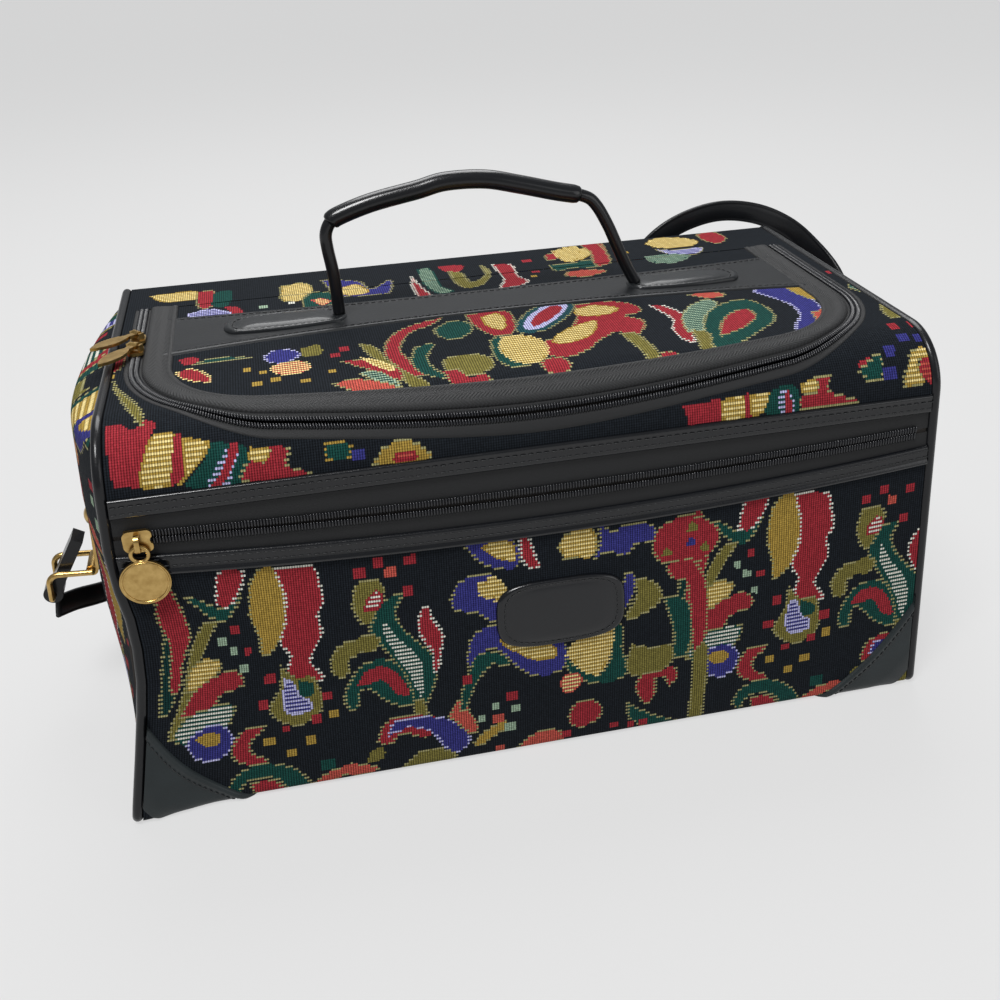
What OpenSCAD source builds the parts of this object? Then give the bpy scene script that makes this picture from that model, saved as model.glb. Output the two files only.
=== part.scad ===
// Soft travel case: floral tapestry walls on board, black leatherette trim, zipped lid and
// zipped front pocket, a rolled handle on the lid and a shoulder strap on two end rings.
// Millimetres. Origin at the middle of the base, +X to the right seen from the front,
// +Y to the back, +Z up.

/* [Body] */
// Width at the floor, over the piping
base_w = 400; // [360:1:440]
// Width at the top, over the piping
top_w = 372; // [352:1:400]
// Depth from front to back, over the piping
body_d = 204; // [190:1:230]
// Height of the body, over the piping
body_h = 197; // [190:1:215]
// Radius of the shoulder at the front of the top
shoulder_r = 26; // [22:1:30]
// Radius of the top edge at the back
back_r = 10; // [8:1:14]
// Radius of the bottom edges
base_r = 5; // [5:1:8]
// Swell of an end panel at its middle
end_crown = 20; // [12:1:22]
// Rise of the arc from floor to top that rounds an end panel's swell
end_rise = 60; // [40:1:70]

/* [Cloth] */
// Thickness of the tapestry
cloth_t = 1.5; // [1:0.1:2]
// Thickness of the wall behind the tapestry
inner_t = 1.5; // [1:0.1:2]
// Thickness of an end panel at its seam
end_t = 2.5; // [2:0.1:3]
// Thickness of the base board
board_t = 2; // [1:0.1:3]
// Thickness of the lining
lining_t = 1.2; // [0.8:0.1:1.6]
// Thickness of the leatherette trim
leather_t = 1.2; // [0.8:0.1:1.6]
// Diameter of the piping
piping_d = 5; // [4:0.1:6]
// Height of the piping above the cloth
piping_proud = 1; // [0.6:0.1:1.4]

/* [Pocket] */
// Drop from the body's height to the pocket zip's centre line
zip_drop = 47; // [46:1:56]
// Height of the zip's opening above its centre line
upper_gap = 10.5; // [8:0.5:11]
// Height of the zip's opening below its centre line, at the middle
lower_gap = 16.5; // [15:0.5:20]
// Height of a leatherette strip
strip_h = 9; // [7:0.5:9]
// Rise of the lower strip from its middle to its ends
strip_bow = 8.5; // [6:0.5:9]
// Width of the closed zip chain
chain_w = 6.4; // [5:0.1:8]
// Thickness of the zip chain
chain_t = 2; // [1.6:0.1:2.4]
// Distance from one zip element to the next
chain_pitch = 1.8; // [1.6:0.1:2.4]
// Length of a corner patch along the bottom and up the side
corner_leg = 58; // [44:1:64]
// Inward bow of a corner patch's edge
corner_bow = 5; // [3:1:8]
// Width of the plain patch on the front
patch_w = 62; // [50:1:70]
// Height of the plain patch on the front
patch_h = 38; // [30:1:42]
// Drop from the body's height to the patch's middle
patch_drop = 111; // [106:1:116]

/* [Lid] */
// Distance from the bag's end to the lid's side edge
lid_side_inset = 18; // [18:1:30]
// Distance from the bag's front to the lid's front edge
lid_front_inset = 7.8; // [7:0.1:12]
// Distance from the bag's back to the lid's hinge edge
lid_back_inset = 47; // [42:1:54]
// Radius of the lid's front corners
lid_corner_r = 60; // [50:1:64]
// Forward bow of the lid's front edge
lid_bow = 10.4; // [8:0.2:11]
// Width of the zip band beside the lid
band_side = 8; // [8:0.5:10]
// Width of the zip band in front of the lid, seen from above
band_front = 6; // [5:0.5:6]
// Width of the binding tape round the lid
binding_w = 12; // [9:1:15]
// Thickness of the lid board with its lining
lid_board_t = 2.5; // [2:0.1:3]
// Width of the leatherette band across the lid, at its middle
lid_band_w = 34; // [30:1:40]
// Flare of each of the band's edges at its ends
lid_band_flare = 10; // [6:1:12]
// Middle of the leatherette band, from the middle of the bag
lid_band_y = 10; // [5:1:12]

/* [Handle] */
// Diameter of the handle's rolled cord
handle_d = 6; // [5:0.5:7]
// Diameter of the grip sleeve
grip_d = 9; // [8.5:0.5:11]
// Distance of a handle tab from the middle of the lid
tab_x = 72; // [70:1:72]
// Length of a handle tab
tab_l = 60; // [54:1:66]
// Width of a handle tab
tab_w = 22; // [18:1:26]
// Thickness of a handle tab
tab_t = 3; // [2:0.5:4]

/* [Hardware] */
// Diameter of the coin on the pocket pull
coin_d = 21; // [18:1:24]
// Thickness of the coin
coin_t = 1.6; // [1.2:0.1:2]
// Length of a leaf pull on the lid zip
leaf_l = 22; // [18:1:24]
// Width of a leaf pull
leaf_w = 8; // [6:1:9]
// Diameter of the ring wire
wire_d = 3; // [2.4:0.1:3.4]
// Inside width of a strap ring
ring_w = 17; // [15:1:20]
// Reach of a strap ring from its barrel to its bend
ring_reach = 16; // [14:1:20]
// Width of the shoulder strap
strap_w = 12; // [10:1:14]
// Thickness of the shoulder strap
strap_t = 3; // [2:0.5:3]

/* [Hidden] */
$fn = 64;

// Cloth faces and the lean of the ends
front_y = -body_d / 2 + piping_proud;
back_y = body_d / 2 - piping_proud;
top_z = body_h - piping_proud;
lean = atan((base_w - top_w) / 2 / body_h);
end_h = body_h / cos(lean);
wall_t = cloth_t + inner_t;
// Largest length that any cutting solid needs
far = 2 * base_w;
// Clearance between pieces that move past each other
clearance = 0.3;

// Levels on the front
zip_z = body_h - zip_drop;
strip_low_z = zip_z - lower_gap - strip_h;
strip_top_z = zip_z + upper_gap + strip_h;
patch_z = body_h - patch_drop;
// Half the run of the pocket's chain
zip_run = half_w(zip_z) - piping_d - 4;
// Part of the cloth's thickness taken by a zip tape
tape_t = 0.8;

// Lid's edges, and the half width over which its front edge bows
lid_half_w = half_w(top_z) - lid_side_inset;
lid_front = body_d / 2 - lid_front_inset;
lid_back = body_d / 2 - lid_back_inset;
lid_bow_x = 130;
// Part of the bow that is lost from the lid's edge to the band's outer edge
band_flat = 4.5;

// Shares of the zip band's width where the tapes and the chain halves end
lid_tape_end = 0.34;
lid_chain_end = 0.44;
body_chain_start = 0.57;
body_chain_end = 0.7;
// Height of the chain above the cloth
chain_proud = 0.9;
binding_t = 1.2;

// Middle of an end panel's swell, in the frame of that end
crown_x = -piping_d + end_t + end_crown;
crown_z = end_h / 2;
rivet_z = crown_z + 12;
upper_rivet_z = crown_z + 49;
plate_t = 1.5;
plate_w = 16;
barrel_r = 3;
barrel_x = crown_x + barrel_r + clearance;
barrel_z = crown_z - 16;
barrel_play = 0.1;
ring_bend_r = 5;
ring_drop = 14;
// Sewn end of the strap: its length and its lean towards the bag
tail_l = 34;
tail_lean = 27;

// Sliders and pulls
slider_half = 6;
slider_x = slider_half - zip_run;
slider_plate_t = 1.4;
bail_gap = 3.2;
bail_t = 1.2;
eye_r = 3.5;
eye_wire_r = 0.9;
lid_slider_h = 3.4;
lid_slider_x = -lid_half_w - band_side / 2;
lid_slider_y = [-9, 7];
// Turn of each leaf pull from the bag's side towards its front
pull_turn = [55, 38];
leaf_t = 1.4;

// Handle centre line in the plane y = lid_band_y: x and height above the tabs
handle_route = [
    [-75.7, 0], [-76.4, 19], [-78, 33], [-78, 40], [-75.2, 45.4], [-70, 48.4], [-54.4, 53], [-33.3, 56.8],
    [-19.3, 59.6], [-0.4, 59.1], [16.2, 55.3], [34.3, 50.4], [49, 46.7], [55.2, 41.9], [61.5, 31.1],
    [66.7, 19.4], [71.5, 9], [76.5, 0]
];
// First and last share of the route that the grip sleeve covers
grip_span = [0.23, 0.70];

// Shoulder strap: x, y, z and the compass direction that its face looks in
strap_left_route = [
    [-238, 1, 60, 152], [-231, 14, 55, 152], [-223, 30, 47, 156], [-216, 52, 36, 163], [-211, 75, 24, 166],
    [-204, 98, 13, 150], [-188, 113, 8, 115], [-160, 118, 6.4, 95], [-120, 118, 6.2, 90], [-60, 118, 6.2, 90],
    [0, 118, 6.2, 90]
];
strap_right_route = [
    [218, 0, 102.8, 0], [217.8, 1.5, 109, 0], [219.5, 9, 118, 0], [225.5, 34, 131, 0], [230, 62, 146, 2],
    [229, 86, 166, 20], [220, 101, 182, 60], [207, 107, 195, 85], [187, 109, 205, 90], [165, 110, 208, 90],
    [141, 110, 203, 90], [123, 110, 192, 90], [108, 111, 172, 90], [92, 113, 140, 90], [74, 115, 100, 90],
    [58, 117, 60, 90], [44, 118, 30, 90], [26, 118, 12, 90], [0, 118, 6.2, 90]
];

// Plain shapes

// Rectangle with its own radius at each corner, counter-clockwise from low left
module round_rect(x0, x1, y0, y1, r) {
    polygon([
        [x0 + r[0], y0], [x1 - r[1], y0], [x1, y0 + r[1]], [x1, y1 - r[2]],
        [x1 - r[2], y1], [x0 + r[3], y1], [x0, y1 - r[3]], [x0, y0 + r[0]]
    ]);
    translate([x0 + r[0], y0 + r[0]]) circle(r[0]);
    translate([x1 - r[1], y0 + r[1]]) circle(r[1]);
    translate([x1 - r[2], y1 - r[2]]) circle(r[2]);
    translate([x0 + r[3], y1 - r[3]]) circle(r[3]);
}

// Tube along the outline of such a rectangle
module tube_loop(x0, x1, y0, y1, r, tube_r) {
    corners = [
        [x0 + r[0], y0 + r[0], 180], [x1 - r[1], y0 + r[1], 270], [x1 - r[2], y1 - r[2], 0], [x0 + r[3], y1 - r[3], 90]
    ];
    for (i = [0:3])
        translate([corners[i][0], corners[i][1], 0])
            rotate(corners[i][2])
                rotate_extrude(angle = 90)
                    translate([r[i], 0])
                        circle(tube_r);
    translate([x0 + r[0], y0, 0]) rotate([0, 90, 0]) cylinder(r = tube_r, h = x1 - x0 - r[0] - r[1]);
    translate([x0 + r[3], y1, 0]) rotate([0, 90, 0]) cylinder(r = tube_r, h = x1 - x0 - r[2] - r[3]);
    translate([x0, y0 + r[0], 0]) rotate([-90, 0, 0]) cylinder(r = tube_r, h = y1 - y0 - r[0] - r[3]);
    translate([x1, y0 + r[1], 0]) rotate([-90, 0, 0]) cylinder(r = tube_r, h = y1 - y0 - r[1] - r[2]);
}

// Extrudes a (Y, Z) outline along X, centred
module along_x(length) {
    rotate([90, 0, 90]) linear_extrude(height = length, center = true) children();
}

// Extrudes an (X, Z) outline along Y, centred
module along_y(length) {
    rotate([90, 0, 0]) linear_extrude(height = length, center = true) children();
}

// Everything between two heights
module slab(z0, z1) {
    translate([-far / 2, -far / 2, z0]) cube([far, far, z1 - z0]);
}

// Everything between two depths
module depth_slab(y0, y1) {
    translate([-far / 2, y0, -far / 2]) cube([far, y1 - y0, far]);
}

// Half-sphere with its flat side at z = 0
module dome(r, h) {
    intersection() {
        translate([0, 0, h - (r * r + h * h) / (2 * h)]) sphere((r * r + h * h) / (2 * h));
        cylinder(r = r + 1, h = h + 1);
    }
}

// Solids swept along a route

function hermite(p0, p1, p2, p3, t) =
    p1 + 0.5 * t * (p2 - p0 + t * (2 * p0 - 5 * p1 + 4 * p2 - p3 + t * (3 * (p1 - p2) + p3 - p0)));

// Smooth points through a route, with steps points for each stretch
function smooth(route, steps) = [
    for (i = [0:len(route) - 2], j = [0:steps - (i == len(route) - 2 ? 0 : 1)])
        hermite(route[max(i - 1, 0)], route[i], route[i + 1], route[min(i + 2, len(route) - 1)], j / steps)
];

function unit(v) = v / norm(v);

function tangent(path, i) = unit(path[min(i + 1, len(path) - 1)] - path[max(i - 1, 0)]);

// Sweeps rings of points into a closed solid
module skin(rings) {
    n = len(rings[0]);
    m = len(rings);
    polyhedron(
        points = [for (ring = rings) each ring],
        faces = concat(
            [[for (k = [n - 1:-1:0]) k]],
            [for (i = [0:m - 2], k = [0:n - 1])
                [i * n + k, i * n + (k + 1) % n, (i + 1) * n + (k + 1) % n, (i + 1) * n + k]],
            [[for (k = [0:n - 1]) (m - 1) * n + k]]
        )
    );
}

// Round cord along a path in the plane y = lid_band_y
module cord(path, r, sides = 12) {
    skin([
        for (i = [0:len(path) - 1])
            let (t = tangent(path, i), up = [-t[2], 0, t[0]])
                [for (k = [0:sides - 1]) path[i] + r * (cos(360 * k / sides) * up + sin(360 * k / sides) * [0, 1, 0])]
    ]);
}

// Flat strap along a route, with rounded edges
module strap(route) {
    places = smooth([for (p = route) [p[0], p[1], p[2]]], 2);
    headings = smooth([for (p = route) [p[3]]], 2);
    section = [[-0.5, -0.25], [-0.42, -0.5], [0.42, -0.5], [0.5, -0.25], [0.5, 0.25], [0.42, 0.5], [-0.42, 0.5], [-0.5, 0.25]];
    skin([
        for (i = [0:len(places) - 1])
            let (
                t = tangent(places, i),
                face = [cos(headings[i][0]), sin(headings[i][0]), 0],
                across = unit(cross(face, t)),
                out = cross(t, across)
            )
                [for (s = section) places[i] + s[0] * strap_w * across + s[1] * strap_t * out]
    ]);
}

// Body

// Half width of the ends' outer plane at a height
function half_w(z) = base_w / 2 - z * tan(lean);

// The space between the two end panels, less an inset
module between_ends(inset = 0) {
    margin = (piping_d + inset) / cos(lean);
    low = -base_r;
    high = body_h + base_r;
    along_y(far)
        polygon([
            [-half_w(low) + margin, low], [half_w(low) - margin, low],
            [half_w(high) - margin, high], [-half_w(high) + margin, high]
        ]);
}

// Side view of the cloth wrapped round front, top, back and base, less a depth
module wrap_outline(t) {
    round_rect(front_y + t, back_y - t, t, top_z - t, [base_r - t, base_r - t, back_r - t, shoulder_r - t]);
}

// One layer of that wrap, from depth t0 to depth t1
module wrap(t0, t1) {
    intersection() {
        along_x(far)
            difference() {
                wrap_outline(t0, $fn = 128);
                wrap_outline(t1, $fn = 128);
            }
        between_ends();
    }
}

// Front layer between two heights
module front_layer(t0, t1, z0, z1) {
    intersection() {
        wrap(t0, t1);
        slab(z0, z1);
        depth_slab(-far / 2, front_y + shoulder_r);
    }
}

// Everything above a line that sags to a height at the middle of the front
module above_bow(z) {
    half = half_w(zip_z) - piping_d;
    r = (half * half + strip_bow * strip_bow) / (2 * strip_bow);
    along_y(far) translate([0, z + r]) circle(r, $fn = 512);
}

// The frame of an end: x out of its outer plane, z up its slope
module on_end(side) {
    mirror([side < 0 ? 1 : 0, 0, 0])
        translate([base_w / 2, 0, 0])
            rotate([0, -lean, 0])
                children();
}

function end_radii(inset) =
    [for (r = [base_r, base_r, back_r, shoulder_r]) r + piping_proud - inset];

module end_panel() {
    half_y = body_d / 2 - piping_d;
    half_z = end_h / 2 - piping_d;
    plan_r = (half_y * half_y + end_crown * end_crown) / (2 * end_crown);
    side_r = (half_z * half_z + end_rise * end_rise) / (2 * end_rise);
    side_x = -piping_d + end_t + end_rise - side_r;
    intersection() {
        translate([-piping_d, 0, 0])
            rotate([90, 0, 90])
                linear_extrude(height = end_t + end_crown)
                    round_rect(-half_y, half_y, piping_d, end_h - piping_d, end_radii(piping_d));
        translate([crown_x - plan_r, 0, 0]) cylinder(r = plan_r, h = end_h, $fn = 128);
        translate([side_x, half_y, crown_z]) rotate([90, 0, 0]) cylinder(r = side_r, h = 2 * half_y, $fn = 128);
    }
}

module piping() {
    r = piping_d / 2;
    translate([-r, 0, 0])
        rotate([90, 0, 90])
            tube_loop(-body_d / 2 + r, body_d / 2 - r, r, end_h - r, end_radii(r), r);
}

module bottom_panel() {
    color("#191a1d")
        intersection() {
            wrap(0, wall_t);
            slab(0, base_r);
        }
}

module base_board() {
    color("#3a352e")
        intersection() {
            between_ends();
            depth_slab(front_y + base_r, back_y - base_r);
            slab(wall_t, wall_t + board_t);
        }
}

module back_panel() {
    color("#2b3038")
        intersection() {
            wrap(0, wall_t);
            slab(base_r, top_z - back_r);
            depth_slab(0, far / 2);
        }
}

module left_end() {
    color("#33323a") on_end(-1) end_panel();
}

module right_end() {
    color("#33323a") on_end(1) end_panel();
}

module piping_left() {
    color("#141518") on_end(-1) piping();
}

module piping_right() {
    color("#141518") on_end(1) piping();
}

module front_wall() {
    color("#202126") front_layer(cloth_t, wall_t, base_r, strip_top_z);
}

module pocket_front() {
    color("#2d2f3a")
        difference() {
            front_layer(0, cloth_t, base_r, zip_z);
            above_bow(strip_low_z + strip_h);
        }
}

// Tapestry that turns from the front over the shoulder and round the lid's opening
module shoulder_panel() {
    color("#2d2f3a")
        difference() {
            intersection() {
                wrap(0, cloth_t);
                union() {
                    intersection() {
                        slab(strip_top_z, body_h);
                        depth_slab(-far / 2, 0);
                    }
                    intersection() {
                        slab(top_z - back_r, body_h);
                        depth_slab(0, far / 2);
                    }
                }
            }
            band_prism(1, clearance);
        }
}

// Rolled tapestry hem behind the lid's hinge seam
module hinge_hem() {
    hem_y0 = lid_back + 3.5;
    hem_y1 = back_y - 2;
    color("#343540")
        intersection() {
            wrap(-binding_t, 0);
            slab(top_z, body_h + binding_t);
            depth_slab(hem_y0, hem_y1);
        }
}

module lining() {
    low = wall_t + board_t;
    color("#4a4038")
        difference() {
            intersection() {
                along_x(far) wrap_outline(wall_t);
                slab(low, strip_top_z);
                between_ends();
            }
            intersection() {
                depth_slab(front_y + wall_t + lining_t, back_y - wall_t - lining_t);
                slab(low + lining_t, body_h);
                between_ends(lining_t);
            }
        }
}

// Pocket zip

module pocket_strip_upper() {
    color("#1b1c20") front_layer(-leather_t, cloth_t, strip_top_z - strip_h, strip_top_z);
}

module pocket_strip_lower() {
    color("#1b1c20")
        difference() {
            intersection() {
                front_layer(-leather_t, 0, strip_low_z - leather_t, zip_z);
                above_bow(strip_low_z);
            }
            above_bow(strip_low_z + strip_h);
        }
}

module pocket_tape_upper() {
    color("#101114") front_layer(cloth_t - tape_t, cloth_t, zip_z, strip_top_z - strip_h);
}

module pocket_tape_lower() {
    color("#101114")
        intersection() {
            front_layer(cloth_t - tape_t, cloth_t, strip_low_z, zip_z);
            above_bow(strip_low_z + strip_h);
        }
}

// Closed coil: a ribbon with a row of elements along each edge
module pocket_chain() {
    count = floor(2 * zip_run / chain_pitch);
    start = -count * chain_pitch / 2;
    crest = chain_w / 2;
    root = crest - chain_pitch / 2;
    edge = [
        for (i = [0:count - 1], step = [[0.25, crest], [0.75, crest], [0.75, root], [1.25, root]])
            if (i < count - 1 || step[0] < 1)
                [start + (i + step[0]) * chain_pitch, step[1]]
    ];
    outline = concat(edge, [for (i = [len(edge) - 1:-1:0]) [edge[i][0], -edge[i][1]]]);
    color("#0e0f12")
        translate([0, front_y + cloth_t - tape_t, zip_z])
            rotate([90, 0, 0])
                linear_extrude(height = chain_t)
                    polygon(outline);
}

// Leatherette triangle over a lower front corner
module corner_patch(side) {
    corner_x = half_w(0);
    chord = corner_leg * sqrt(2);
    bow_r = (chord * chord / 4 + corner_bow * corner_bow) / (2 * corner_bow);
    shift = (bow_r - corner_bow) / sqrt(2);
    mirror([side < 0 ? 1 : 0, 0, 0])
        intersection() {
            front_layer(-leather_t, 0, leather_t, corner_leg + base_r);
            along_y(far)
                difference() {
                    translate([corner_x - corner_leg, 0]) square(corner_leg);
                    translate([corner_x - corner_leg / 2 - shift, corner_leg / 2 + shift]) circle(bow_r, $fn = 128);
                }
        }
}

module corner_patch_left() {
    color("#2c2e30") corner_patch(-1);
}

module corner_patch_right() {
    color("#2c2e30") corner_patch(1);
}

module front_patch() {
    r = patch_h / 2 - 4;
    color("#17181b")
        translate([0, front_y, 0])
            rotate([90, 0, 0])
                linear_extrude(height = leather_t + 0.6)
                    round_rect(-patch_w / 2, patch_w / 2, patch_z - patch_h / 2, patch_z + patch_h / 2, [r, r, r, r]);
}

// Lid

// Plan of a lid with a bowed front edge, two round corners and straight sides
module lid_plan(side, front, bow, back) {
    half = lid_half_w + side;
    r = lid_corner_r + side;
    bow_r = (lid_bow_x * lid_bow_x + bow * bow) / (2 * bow);
    corner_x = half - r;
    corner_y = bow_r - front - sqrt((bow_r - r) * (bow_r - r) - corner_x * corner_x);
    join_x = corner_x * bow_r / (bow_r - r);
    intersection() {
        translate([0, bow_r - front]) circle(bow_r, $fn = 512);
        translate([-join_x, -front]) square([2 * join_x, front + back]);
    }
    for (x = [-corner_x, corner_x])
        translate([x, corner_y]) circle(r, $fn = 128);
    translate([-half, corner_y]) square([2 * half, back - corner_y]);
}

// Plan of the lid and of the zip band round it: share 0 is the lid's edge, 1 the band's outer edge
module band_plan(share, grow = 0, back = lid_back) {
    lid_plan(
        share * band_side + grow, lid_front + share * band_front + grow,
        lid_bow - share * band_flat, back + grow
    );
}

module band_prism(share, grow = 0) {
    translate([0, 0, top_z - 2 * shoulder_r])
        linear_extrude(height = 4 * shoulder_r)
            band_plan(share, grow);
}

// Ring of the wrap between two shares of the band
module band_ring(share0, share1, t0, t1) {
    difference() {
        intersection() {
            wrap(t0, t1);
            slab(strip_top_z + leather_t, body_h + binding_t);
            band_prism(share1);
        }
        // The cut runs past the hinge edge, so the ring stays open at the back
        translate([0, 0, top_z - 2 * shoulder_r])
            linear_extrude(height = 4 * shoulder_r)
                band_plan(share0, 0, lid_back + 1);
    }
}

// Layer of the lid between two depths below the cloth's face
module lid_layer(t0, t1) {
    intersection() {
        wrap(t0, t1);
        slab(top_z - shoulder_r, body_h);
        band_prism(0);
    }
}

// Everything in front of the leatherette band, or behind it
module beside_band(side) {
    flare_r = lid_half_w * lid_half_w / (2 * lid_band_flare);
    translate([0, lid_band_y + side * (lid_band_w / 2 + flare_r), 0]) cylinder(r = flare_r, h = far, $fn = 512);
}

module lid_front_panel() {
    color("#2d2f3a")
        intersection() {
            lid_layer(0, cloth_t);
            beside_band(-1);
        }
}

module lid_rear_panel() {
    color("#2d2f3a")
        intersection() {
            lid_layer(0, cloth_t);
            beside_band(1);
        }
}

module lid_band() {
    color("#4a4b4d")
        difference() {
            lid_layer(0, cloth_t);
            beside_band(-1);
            beside_band(1);
        }
}

module lid_board() {
    color("#3a352e")
        intersection() {
            lid_layer(cloth_t, cloth_t + lid_board_t);
            depth_slab(-far / 2, lid_back - lid_board_t);
        }
}

// Twill tape sewn over the lid's edge, open at the hinge
module lid_binding() {
    color("#141518")
        difference() {
            intersection() {
                wrap(-binding_t, 0);
                slab(top_z - shoulder_r, body_h + binding_t);
                band_prism(0);
                depth_slab(-far / 2, lid_back - binding_t);
            }
            translate([0, 0, top_z - 2 * shoulder_r])
                linear_extrude(height = 4 * shoulder_r)
                    lid_plan(-binding_w, lid_front - binding_w * 0.75, lid_bow, lid_back + 1);
        }
}

module lid_zip_tape() {
    color("#101114") band_ring(0, lid_tape_end, 0, cloth_t);
}

module lid_zip_chain() {
    color("#0e0f12") band_ring(lid_tape_end, lid_chain_end, -chain_proud, cloth_t);
}

module body_zip_chain() {
    color("#0e0f12") band_ring(body_chain_start, body_chain_end, -chain_proud, cloth_t);
}

module body_zip_tape() {
    color("#101114") band_ring(body_chain_end, 1, 0, cloth_t);
}

// Handle

tab_z = top_z + tab_t;
handle_path = smooth([for (p = handle_route) [p[0], lid_band_y, tab_z + p[1]]], 4);
grip_path = [
    for (i = [0:len(handle_path) - 1])
        if (i >= grip_span[0] * len(handle_path) && i <= grip_span[1] * len(handle_path)) handle_path[i]
];

module handle_core() {
    color("#16171a")
        intersection() {
            cord(handle_path, handle_d / 2);
            slab(tab_z, far);
        }
}

module handle_grip() {
    color("#1d1e21")
        difference() {
            cord(grip_path, grip_d / 2);
            cord(handle_path, handle_d / 2 + barrel_play);
        }
}

// Leatherette tab with a round outer end, sewn to the lid's band
module handle_tab(side) {
    mirror([side < 0 ? 1 : 0, 0, 0])
        translate([tab_x, lid_band_y, top_z])
            linear_extrude(height = tab_t)
                round_rect(0, tab_l, -tab_w / 2, tab_w / 2, [4, tab_w / 2 - 0.1, tab_w / 2 - 0.1, 4]);
}

module handle_tab_left() {
    color("#2a2b2d") handle_tab(-1);
}

module handle_tab_right() {
    color("#2a2b2d") handle_tab(1);
}

// Sliders and pulls

// Front of the pocket chain, and the slider's faces in front of it
chain_front = front_y + cloth_t - tape_t - chain_t;
slider_back = chain_front - clearance;
slider_front = slider_back - slider_plate_t;
eye_y = slider_front - bail_gap / 2;

module pocket_slider() {
    color("#b4904a")
        translate([slider_x, 0, zip_z]) {
            difference() {
                translate([0, slider_back, 0])
                    rotate([90, 0, 0])
                        linear_extrude(height = slider_plate_t)
                            round_rect(-slider_half, slider_half, -5, 5, [3, 2, 2, 3]);
                translate([7, slider_back + 1, 0])
                    rotate([90, 0, 0])
                        cylinder(r = 2, h = slider_plate_t + 2);
            }
            // Lips beside the chain
            for (side = [-1, 1])
                translate([-5, slider_back - 0.2, side * (chain_w / 2 + clearance + 0.5) - 0.5])
                    cube([9, chain_t - 0.4, 1]);
            // Bail that the pull hangs in
            translate([-1, slider_front, 0])
                rotate([0, 90, 0])
                    linear_extrude(height = 2)
                        difference() {
                            round_rect(-4, 4, -bail_gap - bail_t, 0.3, [2.5, 2.5, 0.2, 0.2]);
                            round_rect(-2.8, 2.8, -bail_gap, 0, [1.4, 1.4, 0.1, 0.1]);
                        }
        }
}

// Height of the pull's hinge: the top of its eye rests in the bail
pull_z = zip_z - 2.8 + eye_wire_r + clearance;

module pocket_pull() {
    coin_z = pull_z - 2 * eye_r - coin_d / 2 + 0.6;
    color("#c9a862")
        translate([slider_x, eye_y, 0])
            rotate([90, 0, 0]) {
                translate([0, pull_z - eye_r, 0]) rotate_extrude() translate([eye_r, 0]) circle(eye_wire_r);
                translate([0, coin_z, -coin_t / 2]) cylinder(d = coin_d, h = coin_t);
                // Raised rim on the face
                translate([0, coin_z, coin_t / 2])
                    rotate_extrude()
                        translate([coin_d / 2 - 1, 0])
                            circle(0.5);
            }
}

lid_slider_z = top_z + chain_proud + clearance;

module lid_slider(i) {
    half = 3.6;
    translate([lid_slider_x, lid_slider_y[i], lid_slider_z]) {
        linear_extrude(height = 1.2) round_rect(-half, half, -5, 5, [2, 2, 2, 2]);
        // Lugs and the pin that the pull turns on
        rotate(pull_turn[i]) {
            for (side = [-1, 1])
                translate([-1.4, side * 3.2 - 0.6, 1]) cube([2.8, 1.2, lid_slider_h]);
            translate([0, -3.2, lid_slider_h]) rotate([-90, 0, 0]) cylinder(d = 1.4, h = 6.4);
        }
    }
}

lid_pin_z = lid_slider_z + lid_slider_h;

// Leaf-shaped pull that lies out over the bag's edge
module lid_pull(i) {
    bulge_r = (leaf_l * leaf_l / 4 + leaf_w * leaf_w / 4) / leaf_w;
    neck = 5;
    translate([lid_slider_x, lid_slider_y[i], lid_pin_z]) rotate(pull_turn[i]) {
        difference() {
            union() {
                translate([0, 2.2, 0]) rotate([90, 0, 0]) cylinder(r = 1.7, h = 4.4);
                translate([-neck, -1.6, -leaf_t / 2]) cube([neck, 3.2, leaf_t]);
            }
            translate([0, 3, 0]) rotate([90, 0, 0]) cylinder(d = 1.4 + 2 * barrel_play, h = 6);
        }
        translate([-neck - leaf_l / 2 + 1.5, 0, -leaf_t / 2])
            linear_extrude(height = leaf_t)
                intersection() {
                    translate([0, bulge_r - leaf_w / 2]) circle(bulge_r);
                    translate([0, leaf_w / 2 - bulge_r]) circle(bulge_r);
                }
    }
}

module lid_slider_front() {
    color("#8f7440") lid_slider(0);
}

module lid_pull_front() {
    color("#b39a63") lid_pull(0);
}

module lid_slider_rear() {
    color("#8f7440") lid_slider(1);
}

module lid_pull_rear() {
    color("#b39a63") lid_pull(1);
}

// Strap anchors on the ends

// Blind rivet above the anchor
module upper_rivet() {
    translate([crown_x, 0, upper_rivet_z])
        rotate([0, 90, 0])
            dome(5, 3);
}

module upper_rivet_left() {
    color("#1c1c1e") on_end(-1) upper_rivet();
}

module upper_rivet_right() {
    color("#1c1c1e") on_end(1) upper_rivet();
}

module anchor_rivet() {
    translate([crown_x + plate_t, 0, rivet_z])
        rotate([0, 90, 0])
            dome(5.5, 3);
}

module anchor_rivet_left() {
    color("#c9a862") on_end(-1) anchor_rivet();
}

module anchor_rivet_right() {
    color("#c9a862") on_end(1) anchor_rivet();
}

// Riveted plate rolled round the ring's bar at its lower end
module anchor_plate() {
    difference() {
        union() {
            translate([crown_x, 0, 0])
                rotate([90, 0, 90])
                    linear_extrude(height = plate_t)
                        round_rect(-plate_w / 2, plate_w / 2, barrel_z, rivet_z + plate_w / 2, [0.5, 0.5, 7, 7]);
            translate([barrel_x, plate_w / 2, barrel_z]) rotate([90, 0, 0]) cylinder(r = barrel_r, h = plate_w);
        }
        translate([barrel_x, plate_w / 2 + 1, barrel_z])
            rotate([90, 0, 0])
                cylinder(r = wire_d / 2 + barrel_play, h = plate_w + 2);
    }
}

module anchor_plate_left() {
    color("#b4904a") on_end(-1) anchor_plate();
}

module anchor_plate_right() {
    color("#b4904a") on_end(1) anchor_plate();
}

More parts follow.
